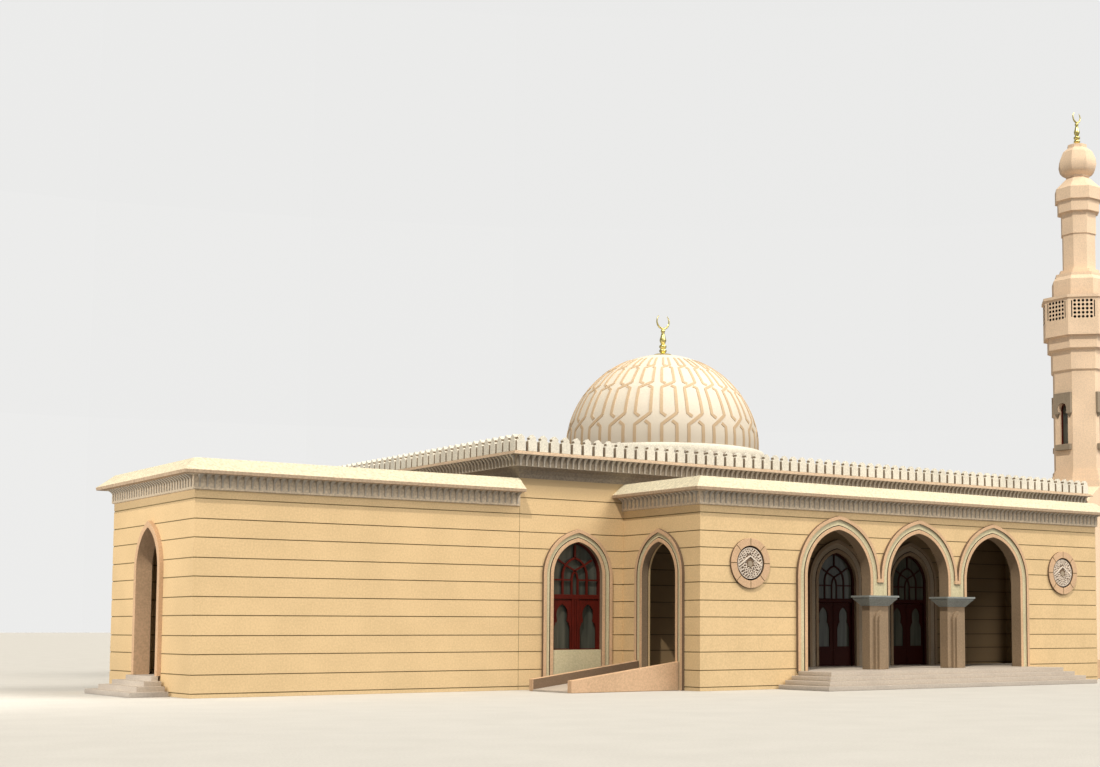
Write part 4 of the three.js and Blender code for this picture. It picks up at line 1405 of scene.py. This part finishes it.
class MOSQUE_OT_roundels(bpy.types.Operator):
    """Set the carved lattice roundels in their stone rings"""

    bl_idname = "mosque.roundels"
    bl_label = "Roundels"
    bl_options = {"REGISTER", "UNDO"}

    # Distance of the roundels from the middle doorway, height of their middles and radius of the carving
    aside = 8.64
    height = 4.63
    carving = 0.565

    def execute(self, context):
        front = facing_front(PORCH[2])
        for place, side in SIDES.items():
            along, up = side * self.aside, self.height
            self.stone_ring(place, along, up, front)
            self.lattice(place, along, up, front)
            # A dark backing behind the lattice, as painted shade.
            backing = plate(circle_points(along, up, 0.79, 40), front, -0.2, -0.01)
            settle(backing, f"roundel_{place}_backing", finish("deep_shade"))
        return {"FINISHED"}

    def stone_ring(self, place, along, up, front):
        """A raised ring of eight stones with dark joints, and painted shade on its sides."""
        outer, inner, face = 0.92, 0.64, 0.09
        profile = [(outer, -0.01), (outer, face - 0.01), (outer - 0.01, face), (inner + 0.01, face),
                   (inner, face - 0.01), (inner, -0.01)]
        count, stones = 72, 8

        def place_point(row, column):
            radius, out = profile[column % len(profile)]
            angle = 2 * math.pi * (row % count) / count
            return front(along + radius * math.cos(angle), out, up + radius * math.sin(angle))

        ring = coated(shaped_grid(count + 1, len(profile) + 1, place_point), "trim")
        # Painted shade on the ring's outer and inner sides.
        mark_faces(ring, lambda normal: abs(normal.y) < 0.3, "edge")
        bars = []
        for k in range(stones):
            angle = 2 * math.pi * k / stones
            line = [(along + r * math.cos(angle), up + r * math.sin(angle)) for r in (0.6, 0.95)]
            bars.append(strip(line, 0.015, front, 0.06, 0.12))
        settle(cut(ring, coated(join(bars), "joint")), f"roundel_{place}_stone_ring", None,
               replaces=[f"porch_roundel_{place}"])

    def lattice(self, place, along, up, front):
        """A five-sided boss under a pointed gable, in rings of small scrolls with a few short spokes."""
        near, far, half_stroke = -0.02, 0.062, 0.01

        def turned_points(points, turn=0.0):
            return [(along + r * math.sin(a + turn), up + r * math.cos(a + turn)) for r, a in points]

        gable = [(along - 0.54, up - 0.1), (along, up + 0.27), (along + 0.54, up - 0.1)]
        boss = circle_points(along, up - 0.03, 0.125, 5)
        settle(plate(boss, front, near, far - 0.01), f"roundel_{place}_boss", finish("hood"))
        # The carved ground between the scrolls is darker, as painted shade.
        ground = join([plate(circle_points(along, up, 0.56, 40), front, near, 0.0),
                       plate(circle_points(along, up + 0.02, 0.19, 20), front, near, 0.03)])
        settle(ground, f"roundel_{place}_ground", finish("edge"))
        rim = circle_points(along, up, self.carving, 64)
        parts = [strip(gable, 0.02, front, near, far + 0.008),
                 strip(rim, half_stroke, front, near, far - 0.01, closed=True)]
        # One scroll as (out from its ring, share of the step round it), and the rings as radius, number of
        # scrolls, first angle and angle covered
        scroll = [(-0.045, -0.4), (0.01, -0.5), (0.045, -0.1), (0.02, 0.35), (-0.02, 0.25)]
        rings = [(0.22, 9, 1.1, 4.2), (0.3, 16, 0.6, 5.1), (0.37, 19, 0.0, 6.28), (0.45, 24, 0.1, 6.28),
                 (0.52, 28, 0.0, 6.28)]
        for radius, count, start, reach in rings:
            step = reach / count
            for k in range(count):
                flip = -1 if k % 2 else 1
                line = smooth_line([(radius + r * flip, a * step * 1.15) for r, a in scroll], 2)
                parts.append(strip(turned_points(line, start + step * k), half_stroke, front, near,
                                   far - 0.006 * (k % 3)))
        for k in range(12):
            line = turned_points([(0.42, 0.0), (0.56, 0.0)], math.pi / 6 * k)
            parts.append(strip(line, half_stroke, front, near, far))
        settle(join(parts), f"roundel_{place}_carved_lattice", finish("lattice"), smooth=20)


class MOSQUE_OT_steps(bpy.types.Operator):
    """Ease the edges of the steps and finish steps, ramps, floors and roofs"""

    bl_idname = "mosque.steps"
    bl_label = "Steps, ramps, floors and roofs"
    bl_options = {"REGISTER", "UNDO"}

    def execute(self, context):
        for node in ("porch_step_bottom", "porch_step_second", "porch_step_third", "porch_landing",
                     "wing_steps"):
            slabs = soften(copy_of(node), 0.018, 2)
            settle(slabs, node + "_slabs", finish("step"), replaces=[node])
        for place, side in SIDES.items():
            self.ramp(place, side)
        paint(["hall_and_porch_floor", "wing_floor"], finish("step"))
        paint(["hall_roof_and_drum", "wing_roof", "porch_roof"], finish("roof"))
        return {"FINISHED"}

    def ramp(self, place, side):
        """A slope between two parapets, whose inner faces are browner as painted shade."""
        low, high = side * 15.6, side * (PORCH[1] + 0.081)
        low_end, high_end = 0.43, 1.04
        front = facing_front(0)
        walls = []
        outline = [(low, 0.0), (high, 0.0), (high, high_end), (low, low_end)]
        for near, far, inwards in ((3.48, 3.74, 1), (0.94, 1.2, -1)):
            parapet = coated(soften(plate(outline, front, near, far), 0.015), "trim")
            # Painted shade on the faces that look in towards the slope.
            mark_faces(parapet, lambda normal: normal.y * inwards > 0.9, "edge")
            walls.append(parapet)
        settle(join(walls), f"ramp_{place}_parapets", None, replaces=[f"ramp_{place}"])
        outline = [(low, 0.0), (high, 0.0), (high, FLOOR), (low, 0.06)]
        slope = plate(outline, front, 1.205, 3.475)
        settle(slope, f"ramp_{place}_slope", finish("step"))


def keyhole(axis, width=1.0):
    """Outline of a leaf's light: a wide foot, small cusps and a pointed head."""
    right = [(0.395, 1.47), (0.395, 2.25), (0.372, 2.316), (0.336, 2.39), (0.327, 2.455), (0.27, 2.47),
             (0.25, 2.52), (0.27, 2.635), (0.283, 2.75), (0.26, 2.9), (0.215, 2.99), (0.125, 3.087)]
    points = [*right, (0.0, 3.16), *[(-x, z) for x, z in reversed(right)]]
    return [(axis + x * width, z) for x, z in points]


def fanlight_bars(axis, frame_half, wall, near, far):
    """The arched light's bars: a pointed arch, two strands that cross, a crossbar and a top bar."""
    half = bpy.context.scene.mosque_trim.bar_width / 2
    rail = 3.48
    inner_arch = Arch(axis, 0.534, 4.87, 0, rail, rail)
    bars = [strip(arch_path(inner_arch, 0.0, 10), half, wall, near, far)]
    for side in (-1, 1):
        strand = [(-0.134, rail), (-0.134, 4.02), *smooth_line(
            [(-0.134, 4.08), (-0.09, 4.25), (0.0, 4.38), (0.14, 4.47), (0.31, 4.55)], 4), (0.76, 4.81)]
        strand = [(axis + side * x, z) for x, z in strand]
        bars.append(strip(strand, half * 0.9, wall, near + 0.004, far - 0.006))
        crossbar = [(axis + side * 0.134, 4.05), (axis + side * frame_half, 4.05)]
        bars.append(strip(crossbar, half * 0.8, wall, near + 0.004, far - 0.01))
    bars.append(strip([(axis, 4.86), (axis, 5.36)], half, wall, near, far))
    return bars


def wooden_lining(arch, wall, near, far, width):
    """The wooden frame inside an arch, from near to far out of the wall."""
    profile = [(-0.002, far), (-width + 0.02, far), (-width, far - 0.02), (-width, near), (-0.002, near)]
    return moulding(arch, profile, wall)


class MOSQUE_OT_doors(bpy.types.Operator):
    """Build the three arched doorways: lining, fanlight and two leaves each"""

    bl_idname = "mosque.doors"
    bl_label = "Doors"
    bl_options = {"REGISTER", "UNDO"}

    def execute(self, context):
        for place, axis in PLACES.items():
            self.doorway(place, axis)
            for hand, side in SIDES.items():
                self.leaf(place, hand, axis, side)
        return {"FINISHED"}

    def doorway(self, place, axis):
        """The frame of one doorway, with a rail over its leaves and glass behind the bars."""
        wall = facing_front(0)
        arch = door_arch(axis)
        along, rail_top = (axis - 0.985, axis + 0.985), 3.5
        rail = soften(block(wall, along, (-0.3, -0.09), (3.34, rail_top)), 0.012)
        bead = soften(block(wall, along, (-0.1, -0.07), (3.46, rail_top)), 0.008)
        parts = [wooden_lining(arch, wall, -0.34, -0.05, 0.09), rail, bead]
        parts += fanlight_bars(axis, 0.96, wall, -0.19, -0.12)
        settle(join(parts), f"door_{place}_frame_and_bars", finish("door_wood"),
               replaces=[f"door_frame_{place}"])
        light = arch._replace(left_foot=3.42, right_foot=3.42)
        pane = plate(arch_path(light, -0.05), wall, -0.165, -0.152)
        settle(pane, f"door_{place}_fanlight_glass", finish("glass"))

    def leaf(self, place, hand, axis, side):
        """One leaf: a board with a keyhole light, raised beads, a foot panel and a pivot pin."""
        wall = facing_front(0)
        near, far = -0.26, -0.2
        low, high = FLOOR + 0.015, 3.328
        hinge, meeting = 0.972, 0.008
        middle, width = axis + side * 0.562, 0.9
        along = sorted((axis + side * meeting, axis + side * hinge))
        x0, x1 = along[0] + 0.028, along[1] - 0.014
        board = block(wall, along, (near, far), (low, high))
        board = soften(cut(board, plate(keyhole(middle, width), wall, near - 0.05, far + 0.05)), 0.006)
        upper_bead = [(x0, 1.4), (x1, 1.4), (x1, 3.26), (x0, 3.26)]
        foot_bead = [(x0, 0.76), (x1, 0.76), (x1, 1.32), (x0, 1.32)]
        parts = [board]
        for line in (upper_bead, foot_bead, keyhole(middle, width)):
            parts.append(strip(line, 0.013, wall, far - 0.004, far + 0.014, closed=True))
        foot, top, radius = FLOOR + 0.001, FLOOR + 0.03, 0.01
        pin_outline = [(0.0, foot), (radius, foot), (radius, top), (0.0, top)]
        parts.append(turned(pin_outline, (axis + side * hinge, -near), steps=12))
        body = f"door_{place}_leaf_{hand}"
        settle(join(parts), body + "_joinery", finish("door_wood"), body=body, replaces=[body])
        x0, x1 = middle - 0.375, middle + 0.375
        glass = plate([(x0, 1.45), (x1, 1.45), (x1, 3.18), (x0, 3.18)], wall, -0.236, -0.226)
        settle(glass, body + "_light_glass", finish("glass"), body=body)


class MOSQUE_OT_windows(bpy.types.Operator):
    """Build the two arched windows beside the porch"""

    bl_idname = "mosque.windows"
    bl_label = "Windows"
    bl_options = {"REGISTER", "UNDO"}

    def execute(self, context):
        for place, side in SIDES.items():
            self.window(place, side)
        return {"FINISHED"}

    def window(self, place, side):
        """A board with two keyhole lights under a rail and an arched light, with glass behind."""
        wall = facing_front(0)
        sill, rail_low, rail_high = 1.445, 3.33, 3.5
        arch = window_arch(side)._replace(left_foot=sill, right_foot=sill)
        axis, half = arch.axis, arch.half - 0.045
        lights = [keyhole(axis - 0.574, 0.94), keyhole(axis + 0.574, 0.94)]
        board = block(wall, (axis - half, axis + half), (-0.2, -0.13), (sill, rail_low - 0.02))
        for light in lights:
            board = cut(board, plate(light, wall, -0.3, 0.0))
        post = block(wall, (axis - 0.15, axis + 0.15), (-0.2, -0.095), (sill, rail_low + 0.01))
        for x in (axis - 0.05, axis + 0.05):
            post = cut(post, block(wall, (x - 0.01, x + 0.01), (-0.12, -0.05), (sill - 0.1, rail_high)))
        rail = soften(block(wall, (axis - half, axis + half), (-0.24, -0.085), (rail_low, rail_high)), 0.012)
        parts = [wooden_lining(arch, wall, -0.26, -0.085, 0.05), soften(board, 0.006), post, rail]
        for light in lights:
            parts.append(strip(light, 0.012, wall, -0.135, -0.116, closed=True))
        parts += fanlight_bars(axis, half, wall, -0.21, -0.14)
        settle(join(parts), f"window_{place}_frame_and_bars", finish("wood"),
               replaces=[f"window_frame_{place}"])
        pane = plate(arch_path(arch, -0.02), wall, -0.275, -0.261)
        settle(pane, f"window_{place}_panes", finish("glass"),
               replaces=[f"window_glass_{place}"])


class MOSQUE_OT_minaret(bpy.types.Operator):
    """Finish the minaret: hooded slots, sills and the pierced gallery"""

    bl_idname = "mosque.minaret"
    bl_label = "Minaret"
    bl_options = {"REGISTER", "UNDO"}

    # From the minaret's middle to the flat sides of its shaft, and out to the corners of its gallery
    flat = 1.451 * math.cos(math.pi / 8)
    gallery_corner = 1.914

    def execute(self, context):
        for node in ("minaret_base", "minaret_shaft", "minaret_upper_shaft", "minaret_bulb"):
            settle(copy_of(node), "rendered_" + node, finish("pale"), replaces=[node],
                   smooth=25)
        hoods, sills, frames, panes = [], [], [], []
        for k in range(4):
            wall = facing_from(*MINARET, math.pi / 2 * k)
            hoods.append(self.hood(wall))
            sill = block(wall, (-0.47, 0.47), (self.flat - 0.05, self.flat + 0.16), (11.04, 11.335))
            sills.append(soften(sill, 0.015))
            frames.append(self.slot_frame(wall))
            outline = [(-0.24, 11.34), (0.24, 11.34), (0.24, 13.4), (-0.24, 13.4)]
            panes.append(plate(outline, wall, self.flat - 0.17, self.flat - 0.155))
        settle(join(hoods), "minaret_hoods", finish("hood"))
        settle(join(sills), "minaret_sills", finish("hood"))
        settle(join(frames), "minaret_slot_frames", finish("wood"))
        settle(join(panes), "minaret_slot_panes", finish("glass"))
        self.gallery()
        return {"FINISHED"}

    def hood(self, wall):
        """A block with a horseshoe cut in it, on two small brackets."""
        near, far = self.flat - 0.04, self.flat + 0.13
        head = block(wall, (-0.53, 0.53), (near, far), (12.86, 13.89))
        centre, radius = 13.1, 0.29
        outline = [(0.24, 12.7), (0.24, centre - 0.16)]
        for i in range(17):
            angle = math.radians(-34 + 248 * i / 16)
            outline.append((radius * math.cos(angle), centre + radius * math.sin(angle)))
        outline += [(-0.24, centre - 0.16), (-0.24, 12.7)]
        head = cut(head, plate(outline, wall, near - 0.1, far + 0.1))
        parts = [soften(head, 0.012)]
        for side in (-1, 1):
            rings = [(12.66, 0.03, near, near + 0.06), (12.72, 0.05, near, near + 0.08),
                     (12.8, 0.075, near, near + 0.12), (12.87, 0.085, near, near + 0.16)]
            parts.append(bracket(wall, side * 0.385, rings))
        return join(parts)

    def slot_frame(self, wall):
        """A thin wooden frame set back in the slot."""
        line = [(-0.22, 11.35), (-0.22, 13.14), (-0.16, 13.28), (0.0, 13.38), (0.16, 13.28), (0.22, 13.14),
                (0.22, 11.35)]
        return strip(line, 0.03, wall, self.flat - 0.18, self.flat - 0.1, closed=True)

    def gallery(self):
        """The eight-sided parapet with a field of round holes and two slots in each side, dark inside as
        painted shade.
        """
        corner, low, high = self.gallery_corner, 17.312, 18.535
        apothem = corner * math.cos(math.pi / 8)
        half = corner * math.sin(math.pi / 8)
        wall = facing_from(*MINARET, 0.0)
        inner = apothem - 0.13
        inner_half = inner * math.tan(math.pi / 8)
        panel = block(wall, (-half, half), (inner, apothem), (17.31, 18.54))
        for vertex in panel.data.vertices:
            if vertex.co.x < MINARET[0] + inner + 0.01:
                vertex.co.y = MINARET[1] + math.copysign(inner_half, vertex.co.y - MINARET[1])
        holes = []
        count, pitch = 5, 0.2
        for row in range(count):
            for column in range(count):
                along, up = -0.4 + pitch * column, 17.58 + pitch * row
                holes.append(plate(circle_points(along, up, 0.07, 12), wall, inner - 0.1, apothem + 0.1))
        for side in (-1, 1):
            slot = (side * 0.55 - 0.025, side * 0.55 + 0.025)
            holes.append(block(wall, slot, (inner - 0.1, apothem + 0.1), (17.56, 18.4)))
        # The holes' sides take the dark finish, as painted shade.
        pierced = cut(coated(panel, "pale"), coated(join(holes), "deep_shade"))
        ring = repeat_round(pierced, 8, MINARET)
        start = math.pi / 8
        lower = turned([(0.0, 16.701), (corner, 16.701), (corner, low), (0.0, low)], MINARET, 8, start)
        cap = turned([(1.74, high), (corner, high), (1.99, 18.56), (1.99, 18.7), (1.72, 18.7)],
                     MINARET, 8, start)
        gallery = join([ring, coated(lower, "pale"), coated(cap, "pale")])
        settle(gallery, "minaret_pierced_gallery", None, replaces=["minaret_gallery"], smooth=20)
        # A dark sheet behind the holes, as painted shade.
        back = turned([(1.73, 17.315), (1.73, 18.53), (1.7, 18.53), (1.7, 17.315)], MINARET, 8, start)
        settle(back, "minaret_gallery_shade_back", finish("deep_shade"), smooth=20)


class MOSQUE_OT_stage(bpy.types.Operator):
    """Lay the plain floor and set the camera and soft lights"""

    bl_idname = "mosque.stage"
    bl_label = "Studio"
    bl_options = {"REGISTER", "UNDO"}

    # Radii of the floor and of the paper round it, in model metres like the rest of the studio
    floor_radius = 400
    paper_radius = 500
    white = "FBFBFA"
    soft_white = "FFFAF2"

    def execute(self, context):
        light = context.scene.mosque_light
        start_clean()
        bpy.ops.mesh.primitive_circle_add(vertices=96, radius=self.floor_radius, fill_type="NGON",
                                          location=(0, 6, -0.002))
        floor = bpy.context.object
        floor.name = "studio_floor"
        floor.data.materials.append(mineral_coat("matt_studio_floor", "C4C1BA", 40, 0.95, contrast=0.02))
        floor.visible_diffuse = False
        floor.visible_glossy = False
        self.sun("crisp_light", light.key, direction=(0.54, 0.5, -0.92), spread=1, colour="FFF8EC")
        self.sun("soft_light", light.side, direction=(-0.5, 0.6, -0.75), spread=35, colour=self.soft_white)
        self.sun("front_light", light.front, direction=(-0.1, 0.9, -0.3), spread=60, colour=self.soft_white)
        self.end_panel(light.panel)
        world = bpy.data.worlds.new("studio_room")
        context.scene.world = world
        world.use_nodes = True
        background = world.node_tree.nodes["Background"]
        background.inputs["Color"].default_value = linear(self.white)
        background.inputs["Strength"].default_value = light.room
        self.paper(light.paper)
        self.camera(light)
        context.scene.view_settings.view_transform = "Standard"
        return {"FINISHED"}

    def paper(self, brightness):
        """A round screen of lit paper far behind everything, which only the camera sees."""
        bpy.ops.mesh.primitive_uv_sphere_add(segments=48, ring_count=24, radius=self.paper_radius,
                                             location=(0, 6, 0))
        screen = bpy.context.object
        screen.name = "studio_paper"
        material, _, shader, _ = new_material("lit_studio_paper")
        shader.inputs["Base Color"].default_value = (0.0, 0.0, 0.0, 1.0)
        shader.inputs["Emission Color"].default_value = linear(self.white)
        shader.inputs["Emission Strength"].default_value = brightness
        screen.data.materials.append(material)
        for kind in ("diffuse", "glossy", "transmission", "volume_scatter", "shadow"):
            setattr(screen, "visible_" + kind, False)

    def sun(self, name, strength, direction, spread, colour):
        """A distant light. A larger spread, in degrees, gives softer shadows."""
        lamp = self.lamp(name, "SUN", strength, direction, colour)
        lamp.data.angle = math.radians(spread)

    def end_panel(self, power):
        """A soft square panel that brightens the wing's end wall."""
        lamp = self.lamp("end_panel", "AREA", power, (1, 0, -0.18), self.soft_white)
        lamp.data.size = 5.0
        lamp.location = (-20.0, 2.0, 3.0)
        lamp.visible_camera = False

    def lamp(self, name, kind, energy, direction, colour):
        """A light of one kind that shines in a direction."""
        data = bpy.data.lights.new(name, kind)
        data.energy = energy
        data.color = linear(colour)[:3]
        lamp = bpy.data.objects.new(name, data)
        bpy.context.scene.collection.objects.link(lamp)
        lamp.rotation_euler = Vector(direction).to_track_quat("-Z", "Y").to_euler()
        return lamp

    def camera(self, light):
        """A camera just above eye height, tilted up a little and shifted to show both steps and dome."""
        tilt, roll, heading = 90 + 4.435, -0.027, -37.515
        data = bpy.data.cameras.new("camera")
        data.sensor_width = 36.0
        data.lens = light.focal
        data.shift_x = -0.1488
        data.shift_y = 0.1069
        data.clip_end = 2000.0
        camera = bpy.data.objects.new("camera", data)
        bpy.context.scene.collection.objects.link(camera)
        camera.location = Vector(light.place) * METRE
        camera.rotation_euler = Euler([math.radians(angle) for angle in (tilt, roll, heading)])
        bpy.context.scene.camera = camera


OPERATORS = [MOSQUE_OT_stage, MOSQUE_OT_walls, MOSQUE_OT_arches, MOSQUE_OT_cornices, MOSQUE_OT_merlons,
             MOSQUE_OT_dome, MOSQUE_OT_finials, MOSQUE_OT_piers, MOSQUE_OT_roundels, MOSQUE_OT_steps,
             MOSQUE_OT_doors, MOSQUE_OT_windows, MOSQUE_OT_minaret]


class MOSQUE_PT_panel(bpy.types.Panel):
    """Lists the building's operators and sizes"""

    bl_label = "Mosque building"
    bl_idname = "MOSQUE_PT_panel"
    bl_space_type = "VIEW_3D"
    bl_region_type = "UI"
    bl_category = "Mosque"

    def draw(self, context):
        for operator in OPERATORS:
            self.layout.operator(operator.bl_idname)
        for group, kind in GROUPS.items():
            settings = getattr(context.scene, group)
            for name in kind.__annotations__:
                self.layout.prop(settings, name)


def register():
    for kind in (*GROUPS.values(), *OPERATORS, MOSQUE_PT_panel):
        bpy.utils.register_class(kind)
    for name, kind in GROUPS.items():
        setattr(bpy.types.Scene, name, PointerProperty(type=kind))


def unregister():
    for name in GROUPS:
        delattr(bpy.types.Scene, name)
    for kind in reversed((*GROUPS.values(), *OPERATORS, MOSQUE_PT_panel)):
        bpy.utils.unregister_class(kind)


def main():
    register()
    bpy.ops.mosque.stage()
    bpy.ops.mosque.walls()
    bpy.ops.mosque.arches()
    bpy.ops.mosque.cornices()
    bpy.ops.mosque.merlons()
    bpy.ops.mosque.dome()
    bpy.ops.mosque.finials()
    bpy.ops.mosque.piers()
    bpy.ops.mosque.roundels()
    bpy.ops.mosque.steps()
    bpy.ops.mosque.doors()
    bpy.ops.mosque.windows()
    bpy.ops.mosque.minaret()


if __name__ == "__main__":
    main()
